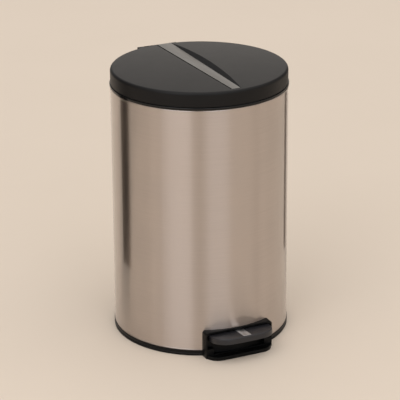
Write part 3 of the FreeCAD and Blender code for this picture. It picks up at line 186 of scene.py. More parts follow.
def applied(mesh, *modifiers):
    """The mesh with modifiers applied. Each is (type, {setting: value})."""
    thing = bpy.data.objects.new("work", mesh)
    bpy.context.scene.collection.objects.link(thing)
    helpers = []
    for kind, settings in modifiers:
        modifier = thing.modifiers.new(kind, kind)
        for key, value in settings.items():
            if key == "object":
                value = bpy.data.objects.new("tool", value)
                bpy.context.scene.collection.objects.link(value)
                helpers.append(value)
            setattr(modifier, key, value)
    graph = bpy.context.evaluated_depsgraph_get()
    result = bpy.data.meshes.new_from_object(thing.evaluated_get(graph))
    for helper in helpers + [thing]:
        bpy.data.objects.remove(helper)
    return result


def less(mesh, *tools):
    """The mesh with each tool mesh cut out of it."""
    return applied(mesh, *[("BOOLEAN", {"object": tool, "operation": "DIFFERENCE", "solver": "EXACT"})
                           for tool in tools])


def bevelled(mesh, width):
    """The mesh with its sharp edges rounded."""
    return applied(mesh, ("BEVEL", {"width": width, "segments": BEVEL_STEPS, "limit_method": "ANGLE",
                                    "angle_limit": BEVEL_FROM, "use_clamp_overlap": True,
                                    "miter_outer": "MITER_ARC"}))


def cad_mesh(node):
    """A copy of a CAD node's mesh with its flat faces in one piece."""
    mesh = frame["nodes"][node].data.copy()
    bm = bmesh.new()
    bm.from_mesh(mesh)
    bmesh.ops.remove_doubles(bm, verts=bm.verts, dist=WELD)
    bmesh.ops.dissolve_limit(bm, angle_limit=FLAT, verts=bm.verts, edges=bm.edges)
    bm.to_mesh(mesh)
    bm.free()
    return mesh


def joined(name, parts):
    """One mesh from several."""
    bm = bmesh.new()
    for part in parts:
        bm.from_mesh(part)
    mesh = bpy.data.meshes.new(name)
    bm.to_mesh(mesh)
    bm.free()
    return mesh


def moved(mesh, matrix):
    """The mesh itself, moved by a matrix."""
    mesh.transform(matrix)
    return mesh


def arc_block(name, inner, outer, low, high, first, last):
    """A curved plate round the can between two angles, in degrees from +X."""
    bm = bmesh.new()
    rings = []
    for step in range(ARC_STEPS + 1):
        angle = math.radians(first + (last - first) * step / ARC_STEPS)
        ring = [(inner, low), (outer, low), (outer, high), (inner, high)]
        rings.append([bm.verts.new((r * math.cos(angle), r * math.sin(angle), z)) for r, z in ring])
    for before, after in zip(rings, rings[1:]):
        for k in range(4):
            bm.faces.new((before[k], before[(k + 1) % 4], after[(k + 1) % 4], after[k]))
    bm.faces.new(rings[0])
    bm.faces.new(rings[-1])
    return closed_mesh(bm, name)


def tube_mesh(name, points, radii, sides=28):
    """A capped tube through points, with a radius at each."""
    bm = bmesh.new()
    rings = []
    side = None
    for index, point in enumerate(points):
        ahead = (points[min(index + 1, len(points) - 1)] - points[max(index - 1, 0)]).normalized()
        if side is None:
            side = ahead.orthogonal().normalized()
        side = (side - ahead * side.dot(ahead)).normalized()
        other = ahead.cross(side)
        rings.append([bm.verts.new(point + radii[index] * (side * math.cos(2 * math.pi * k / sides)
                                                           + other * math.sin(2 * math.pi * k / sides)))
                      for k in range(sides)])
    for before, after in zip(rings, rings[1:]):
        for k in range(sides):
            bm.faces.new((before[k], before[(k + 1) % sides], after[(k + 1) % sides], after[k]))
    bm.faces.new(rings[0])
    bm.faces.new(rings[-1])
    return closed_mesh(bm, name)


# A screw's details, as shares of its head's radius or height, its shank's radius or its length.
HEAD_EDGE, HEAD_EDGE_ROUND = 0.55, 0.5
HEAD_FLAT, HEAD_FLAT_ROUND = 0.55, 0.8
RECESS_REACH, RECESS_HALF, RECESS_FLOOR, RECESS_TOP = 0.62, 0.13, 0.4, 1.5
THREAD_TURNS = 6
THREAD_SHARE, THREAD_FLANK = 0.86, 0.06
SHANK_TIP, SHANK_CORE, SHANK_NECK = 0.55, 0.74, 0.8


def screw_mesh(name, head_radius, head_height, shank_radius, length):
    """A pan-head screw pointing down -Z from its head's underside at 0, with a cross recess."""
    head = lathe_mesh(name, rounded([(0, 0), (head_radius, 0),
                                     (head_radius, head_height * HEAD_EDGE, head_height * HEAD_EDGE_ROUND),
                                     (head_radius * HEAD_FLAT, head_height, head_height * HEAD_FLAT_ROUND),
                                     (0, head_height)]), 40)
    arm = head_radius * RECESS_REACH
    slot_half = head_radius * RECESS_HALF
    floor = head_height * RECESS_FLOOR
    for turn in (0, 90):
        bar = block_mesh("recess", (-arm, -slot_half, floor), (arm, slot_half, head_height * RECESS_TOP))
        head = less(head, moved(bar, Matrix.Rotation(math.radians(turn + 45), 4, "Z")))
    profile = [(0, -length), (shank_radius * SHANK_TIP, -length)]
    for k in range(THREAD_TURNS):
        base = -length + length * THREAD_SHARE * (k + 0.5) / THREAD_TURNS
        profile += [(shank_radius * SHANK_CORE, base), (shank_radius, base + length * THREAD_FLANK)]
    profile += [(shank_radius * SHANK_NECK, 0), (0, 0)]
    return joined(name, [head, lathe_mesh("shank", profile, 24)])


# ---- materials -------------------------------------------------------------------

class Graph:
    """Short way to build one procedural material."""

    def __init__(self, name, **inputs):
        self.material = bpy.data.materials.new(name)
        self.material.use_nodes = True
        self.tree = self.material.node_tree
        self.shader = self.tree.nodes["Principled BSDF"]
        for key, value in inputs.items():
            self.shader.inputs[key.replace("_", " ")].default_value = value
        self.place = self.add("ShaderNodeTexCoord").outputs["Object"]

    def add(self, kind, **settings):
        node = self.tree.nodes.new(kind)
        for key, value in settings.items():
            setattr(node, key, value)
        return node

    def link(self, source, target):
        self.tree.links.new(source, target)

    def scaled(self, scale, source=None):
        mapping = self.add("ShaderNodeMapping")
        mapping.inputs["Scale"].default_value = scale
        self.link(source or self.place, mapping.inputs["Vector"])
        return mapping.outputs["Vector"]

    def noise(self, vector, scale=1.0, detail=4.0, rough=0.55):
        node = self.add("ShaderNodeTexNoise")
        node.inputs["Scale"].default_value = scale
        node.inputs["Detail"].default_value = detail
        node.inputs["Roughness"].default_value = rough
        self.link(vector, node.inputs["Vector"])
        return node.outputs["Fac"]

    def spread(self, source, low, high, first=0.0, last=1.0):
        node = self.add("ShaderNodeMapRange")
        for key, value in (("From Min", first), ("From Max", last), ("To Min", low), ("To Max", high)):
            node.inputs[key].default_value = value
        self.link(source, node.inputs["Value"])
        return node.outputs["Result"]

    def maths(self, operation, first, second=None):
        node = self.add("ShaderNodeMath", operation=operation)
        for socket, value in zip(node.inputs, (first, second)):
            if value is None:
                continue
            if isinstance(value, (int, float)):
                socket.default_value = value
            else:
                self.link(value, socket)
        return node.outputs[0]

    def blend(self, factor, first, second):
        node = self.add("ShaderNodeMix", data_type="RGBA")
        self.link(factor, node.inputs["Factor"])
        for socket, value in ((node.inputs["A"], first), (node.inputs["B"], second)):
            if hasattr(value, "is_output"):
                self.link(value, socket)
            else:
                socket.default_value = (*value, 1)
        return node.outputs["Result"]

    def bump(self, source, distance, strength=1.0, before=None):
        node = self.add("ShaderNodeBump")
        node.inputs["Distance"].default_value = distance
        node.inputs["Strength"].default_value = strength
        self.link(source, node.inputs["Height"])
        if before is not None:
            self.link(before, node.inputs["Normal"])
        return node.outputs["Normal"]

    def out(self, key, source):
        self.link(source, self.shader.inputs[key])


def around_axis(graph, radius):
    """Coordinates wrapped round the can: (arc length, zero, height)."""
    split = graph.add("ShaderNodeSeparateXYZ")
    graph.link(graph.place, split.inputs[0])
    angle = graph.maths("ARCTAN2", split.outputs["Y"], split.outputs["X"])
    arc = graph.maths("MULTIPLY", angle, radius)
    join = graph.add("ShaderNodeCombineXYZ")
    graph.link(arc, join.inputs["X"])
    graph.link(split.outputs["Z"], join.inputs["Z"])
    return join.outputs[0]


STEEL_DARK = (0.485, 0.412, 0.368)
STEEL_LIGHT = (0.560, 0.477, 0.426)
HAIR_GRAIN = (9, 1, 2600)             # marks per metre along the brushing, outwards and upwards
FINE_GRAIN = (30, 1, 7000)
RIPPLE_GRAIN = (150, 150, 0.5)        # marks per metre along X, Y and Z
HAIR_DEPTH = 0.02 * MM
RIPPLE_DEPTH = 0.1 * MM
GRIT_DEPTH = 0.03 * MM


def brushed_shell():
    """Stainless sheet brushed round the can: hair lines, haze, upright ripples and a clear polished lobe."""
    g = Graph("shell_steel", Metallic=1.0, Anisotropic=1.0, Anisotropic_Rotation=0.25, Coat_Weight=1.0,
              Coat_Roughness=0.10, Coat_IOR=1.9)
    wrap = around_axis(g, SHELL_R)
    hair = g.noise(g.scaled(HAIR_GRAIN, wrap), 1.0, 3.0, 0.6)
    fine = g.noise(g.scaled(FINE_GRAIN, wrap), 1.0, 2.0, 0.6)
    haze = g.noise(g.place, 14.0, 3.0, 0.5)
    lines = g.maths("ADD", g.maths("MULTIPLY", hair, 0.6), g.maths("MULTIPLY", fine, 0.4))
    g.out("Base Color", g.blend(g.spread(lines, 0, 1, 0.35, 0.65), STEEL_DARK, STEEL_LIGHT))
    rough = g.maths("ADD", g.spread(lines, 0.30, 0.40, 0.3, 0.7), g.spread(haze, -0.02, 0.03, 0.3, 0.7))
    g.out("Roughness", rough)
    ripple = g.noise(g.scaled(RIPPLE_GRAIN), 1.0, 2.0, 0.5)
    g.out("Normal", g.bump(lines, HAIR_DEPTH, 0.35, g.bump(ripple, RIPPLE_DEPTH, 1.0)))
    tangent = g.add("ShaderNodeTangent", direction_type="RADIAL", axis="Z")
    g.out("Tangent", tangent.outputs[0])
    return g.material


def moulded(name, dark, light, rough_low, rough_high, grain=2600.0, depth=GRIT_DEPTH, specular=0.5, rub=0.03):
    """Moulded plastic: fine spark-eroded grain, soft cloudiness, slight rub marks."""
    g = Graph(name, Specular_IOR_Level=specular)
    cloud = g.noise(g.place, 22.0, 4.0, 0.6)
    grit = g.noise(g.place, grain, 2.0, 0.5)
    marks = g.noise(g.scaled((60, 60, 240)), 1.0, 4.0, 0.7)
    g.out("Base Color", g.blend(g.spread(cloud, 0, 1, 0.35, 0.65), dark, light))
    base = g.spread(cloud, rough_low, rough_high, 0.3, 0.7)
    g.out("Roughness", g.maths("ADD", base, g.spread(marks, rub, -rub, 0.35, 0.65)))
    g.out("Normal", g.bump(grit, depth, 0.5))
    return g.material


def strip_metal(name, shade):
    """Grey metal strip, brushed along its length."""
    g = Graph(name, Metallic=1.0, Anisotropic=0.5)
    hair = g.noise(g.scaled((2400, 14, 14)), 1.0, 3.0, 0.6)
    darker = tuple(0.85 * channel for channel in shade)
    g.out("Base Color", g.blend(g.spread(hair, 0, 1, 0.35, 0.65), darker, shade))
    g.out("Roughness", g.spread(hair, 0.38, 0.5, 0.3, 0.7))
    g.out("Normal", g.bump(hair, HAIR_DEPTH, 0.3))
    return g.material


def plated(name, colour, rough=0.3):
    """Zinc-plated steel: cloudy crystals and fine drawing marks."""
    g = Graph(name, Metallic=1.0)
    cloud = g.noise(g.place, 160.0, 4.0, 0.6)
    darker = tuple(channel * 0.82 for channel in colour)
    g.out("Base Color", g.blend(g.spread(cloud, 0, 1, 0.3, 0.7), darker, colour))
    g.out("Roughness", g.spread(cloud, rough - 0.06, rough + 0.1, 0.3, 0.7))
    g.out("Normal", g.bump(g.noise(g.place, 900.0), HAIR_DEPTH, 0.4))
    return g.material


def rubber():
    """Matt black rubber with a coarse grain."""
    g = Graph("rubber_black", Specular_IOR_Level=0.3)
    g.out("Base Color", g.blend(g.noise(g.place, 60.0), (0.016, 0.016, 0.016), (0.03, 0.03, 0.029)))
    g.out("Roughness", g.spread(g.noise(g.place, 200.0), 0.7, 0.9))
    g.out("Normal", g.bump(g.noise(g.place, 1800.0), 0.05 * MM, 0.6))
    return g.material


strip_finish = strip_metal("strip_metal", (0.245, 0.238, 0.228))
inlay_finish = strip_metal("inlay_metal", (0.62, 0.62, 0.63))

SLOT_MATERIALS = {
    "brushed_shell": brushed_shell(),
    "lid_plastic": moulded("lid_satin", (0.0050, 0.0046, 0.0047), (0.0058, 0.0054, 0.0055), 0.43, 0.445,
                           specular=0.22, rub=0.006),
    "collar_plastic": moulded("collar_gloss", (0.004, 0.004, 0.004), (0.006, 0.006, 0.006), 0.16, 0.22,
                              900.0, 0.01 * MM, specular=0.3),
    "base_plastic": moulded("base_satin", (0.003, 0.003, 0.003), (0.005, 0.005, 0.005), 0.34, 0.42,
                            specular=0.2),
    "housing_plastic": moulded("housing_satin", (0.0022, 0.0022, 0.0024), (0.0034, 0.0034, 0.0036),
                               0.36, 0.44, specular=0.16),
    "pedal_plastic": moulded("pedal_satin", (0.0120, 0.0120, 0.0150), (0.0140, 0.0140, 0.0175), 0.36, 0.42),
    "bucket_plastic": moulded("bucket_grain", (0.030, 0.030, 0.031), (0.040, 0.040, 0.041), 0.48, 0.56,
                              1500.0, 0.06 * MM),
    "liner_plastic": moulded("liner_grain", (0.026, 0.026, 0.027), (0.034, 0.034, 0.035), 0.46, 0.54,
                             1500.0, 0.06 * MM),
    "guide_plastic": moulded("guide_nylon", (0.60, 0.59, 0.55), (0.68, 0.67, 0.63), 0.42, 0.5, 1200.0),
    "bracket_metal": moulded("bracket_coat", (0.012, 0.012, 0.013), (0.018, 0.018, 0.019), 0.38, 0.5,
                             700.0, 0.08 * MM),
    "strip_metal": strip_finish,
    "plain_steel": plated("zinc_steel", (0.66, 0.66, 0.65)),
    "lever_steel": plated("lever_steel", (0.58, 0.58, 0.57), 0.36),
    "rubber": rubber(),
}
for entry in frame["record"]["subparts"]:
    cad = frame["nodes"][entry["node"]]
    cad.data.materials.clear()
    cad.data.materials.append(SLOT_MATERIALS[entry["material_slot"]])


# ---- pieces of the can ---------------------------------------------------------------

SHEET = 0.7 * MM                      # thickness of the steel
BEAD = 0.5 * MM                       # how far the rolled bead stands out
SINK = 0.3 * MM                       # how far a rib's root goes into its plate
NOTCH_HALF = 18 * MM                  # opening behind for the lid's hinge
NOTCH_DEPTH = 25 * MM
NOTCH_LOW = collar_high.z - NOTCH_DEPTH
WINDOW_HALF = 14 * MM                 # opening in front for the pedal's lever
WINDOW_LOW = 15 * MM
WINDOW_HIGH = 42 * MM
SEAM_FROM, SEAM_TO = 88.2, 91.8       # degrees from +X, so that the lap lies straight behind
SEAM_THICK = 0.35 * MM
COLLAR_BAND = 4.3 * MM                # height of the band outside the shell
LEG_WALL = 2 * MM
LEG_R = SHELL_R - SHEET - LEG_WALL
LEDGE_R = 128 * MM                    # ledge that the bucket's flange hangs on
LEDGE_DROP = 4.9 * MM
LEDGE_THICK = 2.4 * MM
LEDGE_TOP = collar_high.z - LEDGE_DROP
BASE_LIP = 8 * MM
BASE_GROOVE_DEEP = 0.7 * MM
BASE_GROOVE = (3.6 * MM, 4.25 * MM, 4.95 * MM, 5.6 * MM)   # heights: edge, floor, floor, edge
PAN_RINGS = (38 * MM, 86 * MM)
PAN_RIBS = 8
PAN_RIB_FROM, PAN_RIB_TO = 39.5 * MM, 84.5 * MM
PAN_RIB_HALF = 0.9 * MM
PAN_RIB_TALL = 1.2 * MM
PAD_R = 11 * MM
PAD_GROOVE = (4.5 * MM, 5 * MM, 5.8 * MM, 6.3 * MM)        # radii: edge, floor, floor, edge
PAD_GROOVE_DEEP = 0.5 * MM
PIN_CHAMFER = 0.6 * MM
OVER = 5 * MM                         # how far a cut runs past the face that it opens


def piece(name, mesh, node, replaced=None, sharp=35):
    """A finished piece that stands for a CAD node: its body and material are the node's, the material picked
    by the node's slot.
    """
    slot = SLOT_OF[node]
    return finish_mesh(name, mesh, SLOT_MATERIALS[slot], BODY_OF[node],
                       (node,) if replaced is None else replaced, sharp)


def softened(node, width):
    """The CAD node with its sharp edges rounded."""
    return piece(node + "_moulded", bevelled(cad_mesh(node), width), node)


def rear_notch():
    """Block that opens the shell and the collar behind."""
    return block_mesh("notch", (-NOTCH_HALF, LEDGE_R - OVER, NOTCH_LOW),
                      (NOTCH_HALF, COLLAR_R + OVER, collar_high.z + OVER))


def make_shell():
    """Steel sheet with a rolled bead under the collar, one above the base, and a lap seam behind."""
    low, high = shell_low.z, shell_high.z
    bead_top = collar_high.z - COLLAR_BAND - 0.5 * MM
    foot = ring_high.z + 0.3 * MM
    outside = [(SHELL_R, low), (SHELL_R, foot), (SHELL_R + BEAD * 0.8, foot + 0.9 * MM, 0.6 * MM),
               (SHELL_R, foot + 1.9 * MM, 0.4 * MM), (SHELL_R, bead_top - 2.4 * MM, 0.4 * MM),
               (SHELL_R + BEAD, bead_top - 1.2 * MM, 0.8 * MM), (SHELL_R, bead_top, 0.4 * MM),
               (SHELL_R, high)]
    profile = rounded([(SHELL_R - SHEET, low)] + outside + [(SHELL_R - SHEET, high)])
    mesh = lathe_mesh("shell", profile, 360)
    window = block_mesh("window", (-WINDOW_HALF, -SHELL_R - OVER, WINDOW_LOW),
                        (WINDOW_HALF, -SHELL_R + 2 * OVER, WINDOW_HIGH))
    piece("shell_sheet", less(mesh, rear_notch(), window), "outer_shell")
    seam = arc_block("seam", SHELL_R, SHELL_R + SEAM_THICK, foot + 4 * MM, hinge_low.z - 1.5 * MM,
                     SEAM_FROM, SEAM_TO)
    piece("shell_seam", bevelled(seam, 0.25 * MM), "outer_shell", ())


def make_collar():
    """Band over the shell's rim, a leg inside it, and the ledge that carries the bucket."""
    top = collar_high.z
    corners = [(LEDGE_R, LEDGE_TOP - LEDGE_THICK, 0.4 * MM), (SHELL_R - SHEET, LEDGE_TOP - LEDGE_THICK),
               (SHELL_R - SHEET, shell_high.z), (SHELL_R, shell_high.z), (SHELL_R, top - COLLAR_BAND),
               (COLLAR_R, top - COLLAR_BAND, 0.5 * MM), (COLLAR_R, top, 1.0 * MM), (LEG_R, top, 0.7 * MM),
               (LEG_R, LEDGE_TOP, 0.8 * MM), (LEDGE_R, LEDGE_TOP, 0.6 * MM)]
    piece("collar_moulding", less(lathe_mesh("collar", rounded(corners), 360), rear_notch()), "top_collar")


def make_base_ring():
    """Two steps with a shadow groove between them."""
    edge, top = COLLAR_R, ring_high.z
    inner = SHELL_R - SHEET
    lip, groove = inner - BASE_LIP, edge - BASE_GROOVE_DEEP
    lower, floor_low, floor_high, upper = BASE_GROOVE
    corners = [(lip, 0, 0.5 * MM), (edge, 0, 0.9 * MM), (edge, lower, 0.5 * MM),
               (groove, floor_low, 0.2 * MM), (groove, floor_high, 0.2 * MM), (edge, upper, 0.5 * MM),
               (edge, top, 0.8 * MM), (SHELL_R, top, 0.3 * MM), (SHELL_R, shell_low.z),
               (inner, shell_low.z), (inner, pan_low.z), (lip, pan_low.z, 0.5 * MM)]
    piece("base_band", lathe_mesh("base", rounded(corners), 360), "base_ring")


def make_pan_ribs():
    """Moulded ribs and two rings under the base pan."""
    low, high = pan_low.z - PAN_RIB_TALL, pan_low.z + SINK
    parts = []
    for radius in PAN_RINGS:
        ring = [(radius - 1 * MM, low, 0.4 * MM), (radius + 1 * MM, low, 0.4 * MM),
                (radius + 1 * MM, high), (radius - 1 * MM, high)]
        parts.append(lathe_mesh("rib_ring", rounded(ring), 160))
    for step in range(PAN_RIBS):
        turn = Matrix.Rotation(math.radians(22.5 + 45 * step), 4, "Z")
        rib = block_mesh("rib", (PAN_RIB_FROM, -PAN_RIB_HALF, low), (PAN_RIB_TO, PAN_RIB_HALF, high))
        parts.append(moved(bevelled(rib, 0.4 * MM), turn))
    piece("pan_ribs", joined("ribs", parts), "base_pan", ())


def make_pads():
    """Rubber pads with a moulded groove, on the floor under the pan."""
    low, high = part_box("floor_pads")
    spot = high.x - PAD_R
    floor = low.z + PAD_GROOVE_DEEP
    first, second, third, fourth = PAD_GROOVE
    parts = []
    for x in (-spot, spot):
        for y in (-spot, spot):
            profile = rounded([(0, low.z), (first, low.z), (second, floor, 0.2 * MM),
                               (third, floor, 0.2 * MM), (fourth, low.z), (PAD_R, low.z, 0.7 * MM),
                               (PAD_R, high.z), (0, high.z)])
            parts.append(lathe_mesh("pad", profile, 64, (x, y)))
    piece("rubber_pads", joined("pads", parts), "floor_pads")


def make_pin(node, name):
    """A pin along X with a chamfer at each end."""
    low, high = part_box(node)
    radius = (high.z - low.z) / 2
    half = (high.x - low.x) / 2
    mesh = lathe_mesh(name, [(0, -half), (radius - PIN_CHAMFER, -half), (radius, PIN_CHAMFER - half),
                             (radius, half - PIN_CHAMFER), (radius - PIN_CHAMFER, half), (0, half)], 48)
    place = Matrix.Translation((low + high) / 2) @ Matrix.Rotation(math.radians(90), 4, "Y")
    piece(name, moved(mesh, place), node)


# ---- pieces of the lid -----------------------------------------------------------------

LID_WALL = 2.2 * MM
LID_ROUND = 5 * MM
LID_SIDE = 19 * MM
DOME_RISE = 5.4 * MM
GROOVE_SLOPE = math.radians(34)
STRIP_GAP = 0.3 * MM
STRIP_FRONT_HALF = 7.1 * MM
LID_SKIRT = lid_low.z
LID_SHOULDER = LID_SKIRT + LID_SIDE
LID_EDGE = LID_SHOULDER + LID_ROUND
DOME_R = LID_R - LID_ROUND
LID_CROWN = LID_EDGE + DOME_RISE
LID_ROUND_STEPS = 8
LID_DOME_STEPS = 12
ARM_TOP = collar_high.z + 11.9 * MM   # top of the bracket's arms, which the lid's opening clears
ARM_GAP = 0.6 * MM
ARM_SIDE_GAP = 0.5 * MM
LID_NOTCH_DEEP = 12 * MM
GATE_LOW = 134 * MM                   # where the liner's opening for the bracket begins
GATE_GAP = 1 * MM
LINER_RING_R = 96 * MM
LINER_RING_DROP = 1.1 * MM
LINER_RIM_DROP = 0.9 * MM
LINER_RIBS = 6
LINER_RIB_HALF = 0.8 * MM
HUB_INNER, HUB_OUTER = 20 * MM, 22 * MM
LINER_SCREW_INSET = 26.6 * MM
LINER_SCREW_HEAD_R, LINER_SCREW_HEAD = 3.5 * MM, 2.2 * MM
LINER_SCREW_SHANK_R = 1.8 * MM
LINER_SCREW_ANGLES = (162, 216, 270, 324, 18)
BUMPER_R = 3 * MM
BUMPER_ANGLES = (210, 270, 330)


def lid_profile(inset):
    """Outline of the lid from its skirt to its crown, moved in by a wall."""
    points = [(LID_R - inset, LID_SKIRT)]
    radius = LID_ROUND - inset
    for step in range(LID_ROUND_STEPS + 1):
        turn = math.radians(90 * step / LID_ROUND_STEPS)
        points.append((DOME_R + radius * math.cos(turn), LID_SHOULDER + radius * math.sin(turn)))
    sphere = (DOME_R ** 2 + DOME_RISE ** 2) / (2 * DOME_RISE)
    for step in range(1, LID_DOME_STEPS + 1):
        r = DOME_R * (1 - step / LID_DOME_STEPS)
        points.append((r, LID_CROWN - inset - sphere + math.sqrt(sphere ** 2 - r ** 2)))
    return points


def groove_wedge(floor, spread, end):
    """Wedge that opens the tapered groove along the lid, down to a floor."""
    rings = []
    for level in (floor, LID_CROWN + OVER):
        widen = spread + (level - floor) / math.tan(GROOVE_SLOPE)
        front, back = STRIP_FRONT_HALF + widen, strip_high.x + widen
        rings.append([(-front, strip_low.y - end, level), (front, strip_low.y - end, level),
                      (back, strip_high.y + end, level), (-back, strip_high.y + end, level)])
    return prism_mesh("groove", *rings)


def make_lid():
    """Domed cover hollowed to its wall, with the strip's groove and an opening for the hinge."""
    solid = lathe_mesh("lid", lid_profile(0) + [(0, LID_SKIRT)], 360)
    inside = lathe_mesh("room", [(LID_R - LID_WALL, LID_SKIRT - OVER)] + lid_profile(LID_WALL)[1:]
                        + [(0, LID_SKIRT - OVER)], 240)
    belly = groove_wedge(strip_low.z - LID_WALL, STRIP_GAP + LID_WALL, LID_WALL)
    notch_half = bracket_high.x + ARM_SIDE_GAP
    notch = block_mesh("notch", (-notch_half, SHELL_R - LID_NOTCH_DEEP, LID_SKIRT - OVER),
                       (notch_half, SHELL_R + OVER, ARM_TOP + ARM_GAP))
    hollow = less(inside, belly)
    mesh = less(less(solid, groove_wedge(strip_low.z, STRIP_GAP, STRIP_GAP)), hollow, notch)
    piece("lid_cover", mesh, "lid_shell", sharp=25)


def make_strip():
    """Tapered metal strip laid in the lid's groove."""
    low, high = strip_low, strip_high
    ring = [(-STRIP_FRONT_HALF, low.y), (STRIP_FRONT_HALF, low.y), (high.x, high.y), (-high.x, high.y)]
    mesh = prism_mesh("strip", [(x, y, low.z) for x, y in ring], [(x, y, high.z) for x, y in ring])
    piece("lid_strip", bevelled(mesh, 0.3 * MM), "lid_inlay")


def make_liner():
    """Underside of the lid: plate with a raised rim, a stiffening ring and radial ribs."""
    radius = liner_high.x
    low, high = liner_low.z, liner_high.z
    ring = LINER_RING_R
    ring_low, rim_low = low - LINER_RING_DROP, low - LINER_RIM_DROP
    corners = [(0, low), (ring - 3 * MM, low), (ring - 2 * MM, ring_low, 0.4 * MM),
               (ring + 2 * MM, ring_low, 0.4 * MM), (ring + 3 * MM, low), (radius - 4 * MM, low),
               (radius - 3 * MM, rim_low, 0.4 * MM), (radius - 0.2 * MM, rim_low, 0.4 * MM),
               (radius, low), (radius, high), (0, high)]
    gate_half = bracket_high.x + GATE_GAP
    gate = block_mesh("gate", (-gate_half, GATE_LOW, low - OVER), (gate_half, SHELL_R + OVER, high + OVER))
    piece("liner_plate", less(lathe_mesh("liner", rounded(corners), 300), gate), "lid_liner")
    parts = []
    root = low + SINK
    for step in range(LINER_RIBS):
        turn = Matrix.Rotation(math.radians(30 + 60 * step), 4, "Z")
        rib = block_mesh("rib", (HUB_OUTER, -LINER_RIB_HALF, rim_low), (ring - 3 * MM, LINER_RIB_HALF, root))
        parts.append(moved(bevelled(rib, 0.3 * MM), turn))
    hub = rounded([(HUB_INNER, rim_low, 0.3 * MM), (HUB_OUTER, rim_low, 0.3 * MM), (HUB_OUTER, root),
                   (HUB_INNER, root)])
    parts.append(lathe_mesh("hub", hub, 96))
    piece("liner_ribs", joined("ribs", parts), "lid_liner", ())


def make_liner_screws():
    """Screws that hold the liner up into the lid."""
    low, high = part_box("liner_screws")
    circle = LID_R - LINER_SCREW_INSET
    under = low.z + LINER_SCREW_HEAD
    parts = []
    for angle in LINER_SCREW_ANGLES:
        turn = math.radians(angle)
        mesh = screw_mesh("screw", LINER_SCREW_HEAD_R, LINER_SCREW_HEAD, LINER_SCREW_SHANK_R, high.z - under)
        place = Matrix.Translation((circle * math.cos(turn), circle * math.sin(turn), under))
        parts.append(moved(mesh, place @ Matrix.Rotation(math.radians(180), 4, "X")))
    piece("liner_fixings", joined("screws", parts), "liner_screws")


def make_bumpers():
    """Rubber bumpers under the liner, just clear of the ledge when the lid is down."""
    low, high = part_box("lid_bumpers")
    circle = -low.y - BUMPER_R
    profile = rounded([(0, low.z), (BUMPER_R, low.z, 1.6 * MM), (BUMPER_R, high.z), (0, high.z)], 6)
    parts = []
    for angle in BUMPER_ANGLES:
        turn = math.radians(angle)
        parts.append(lathe_mesh("bumper", profile, 40, (circle * math.cos(turn), circle * math.sin(turn))))
    piece("rubber_bumpers", joined("bumpers", parts), "lid_bumpers")


# ---- bucket and bail --------------------------------------------------------------------

BUCKET_TAPER = 11 * MM
BUCKET_WALL = 1.6 * MM
BUCKET_FLANGE = 6 * MM
EAR_BORE = 1.96 * MM
WIRE_R = (bail_high.z - bail_low.z) / 2
BAIL_BEND = 5 * MM
BAIL_R = -bail_low.y - BAIL_BEND - WIRE_R
BAIL_Z = (bail_low.z + bail_high.z) / 2
BUCKET_R = bucket_high.x - BUCKET_FLANGE
BUCKET_SEAT = 2 * MM                  # thickness of the flange
BUCKET_FOOT_TALL = 1.2 * MM
BUCKET_STEPS = (60 * MM, 48 * MM)     # how far below the rim each moulded step begins
BUCKET_STEP_OUT = 0.7 * MM
BUCKET_BEND = 20 * MM                 # the inside's line bends this far below the rim
FLAT_HALF = 20 * MM                   # flat behind that clears the hinge
FLAT_OUT = 0.7 * MM
EAR_R = 6 * MM
EAR_LONG = 8.5 * MM
BEND_STEPS = 8
BAIL_STEPS = 96
GRIP_STEPS = 180
GRIP_RIBS = 22
GRIP_RIB_DEEP = 0.55 * MM
GRIP_PLAIN = 12                       # steps at each end without ribs


def make_bucket():
    """Tapered bucket: flange, two moulded steps under it, a footed floor and an ear at each side."""
    low, high = bucket_low.z, bucket_high.z
    foot = BUCKET_R - BUCKET_TAPER
    seat = high - BUCKET_SEAT

    def wall(height):
        return foot + (BUCKET_R - foot) * (height - low) / (seat - low)

    inner = BUCKET_WALL
    floor = low + BUCKET_FOOT_TALL
    floor_top = low + inner + BUCKET_FOOT_TALL
    bend = high - BUCKET_BEND
    outside = [(0, floor), (foot - 14 * MM, floor, 1 * MM), (foot - 11 * MM, low, 0.8 * MM),
               (foot, low, 3 * MM)]
    for drop in BUCKET_STEPS:
        level = high - drop
        near, out = wall(level), wall(level) + BUCKET_STEP_OUT
        outside += [(near, level, 0.4 * MM), (out, level + MM, 0.4 * MM),
                    (out, level + 4 * MM, 0.4 * MM), (near, level + 5 * MM, 0.4 * MM)]
    outside += [(BUCKET_R, seat, 0.6 * MM), (BUCKET_R + BUCKET_FLANGE, seat, 0.5 * MM),
                (BUCKET_R + BUCKET_FLANGE, high, 0.9 * MM), (BUCKET_R - inner, high, 1.0 * MM),
                (wall(bend) - inner, bend, 3 * MM), (foot - inner, floor_top, 2.5 * MM), (0, floor_top)]
    flat = block_mesh("flat", (-FLAT_HALF, BUCKET_R + FLAT_OUT, LEDGE_TOP - OVER),
                      (FLAT_HALF, COLLAR_R, high + OVER))
    piece("bucket_body", less(lathe_mesh("bucket", rounded(outside), 300), flat), "inner_bucket")
    parts = []
    for side in (-1, 1):
        boss = rounded([(EAR_BORE, 0), (EAR_R, 0), (EAR_R, EAR_LONG, 1 * MM), (EAR_BORE, EAR_LONG, 0.4 * MM)])
        turn = Matrix.Rotation(math.radians(-90 * side), 4, "Y")
        place = Matrix.Translation((side * (BUCKET_R - BUCKET_WALL), 0, BAIL_Z))
        parts.append(moved(lathe_mesh("ear", boss, 48), place @ turn))
    piece("bucket_ears", joined("ears", parts), "inner_bucket", ())


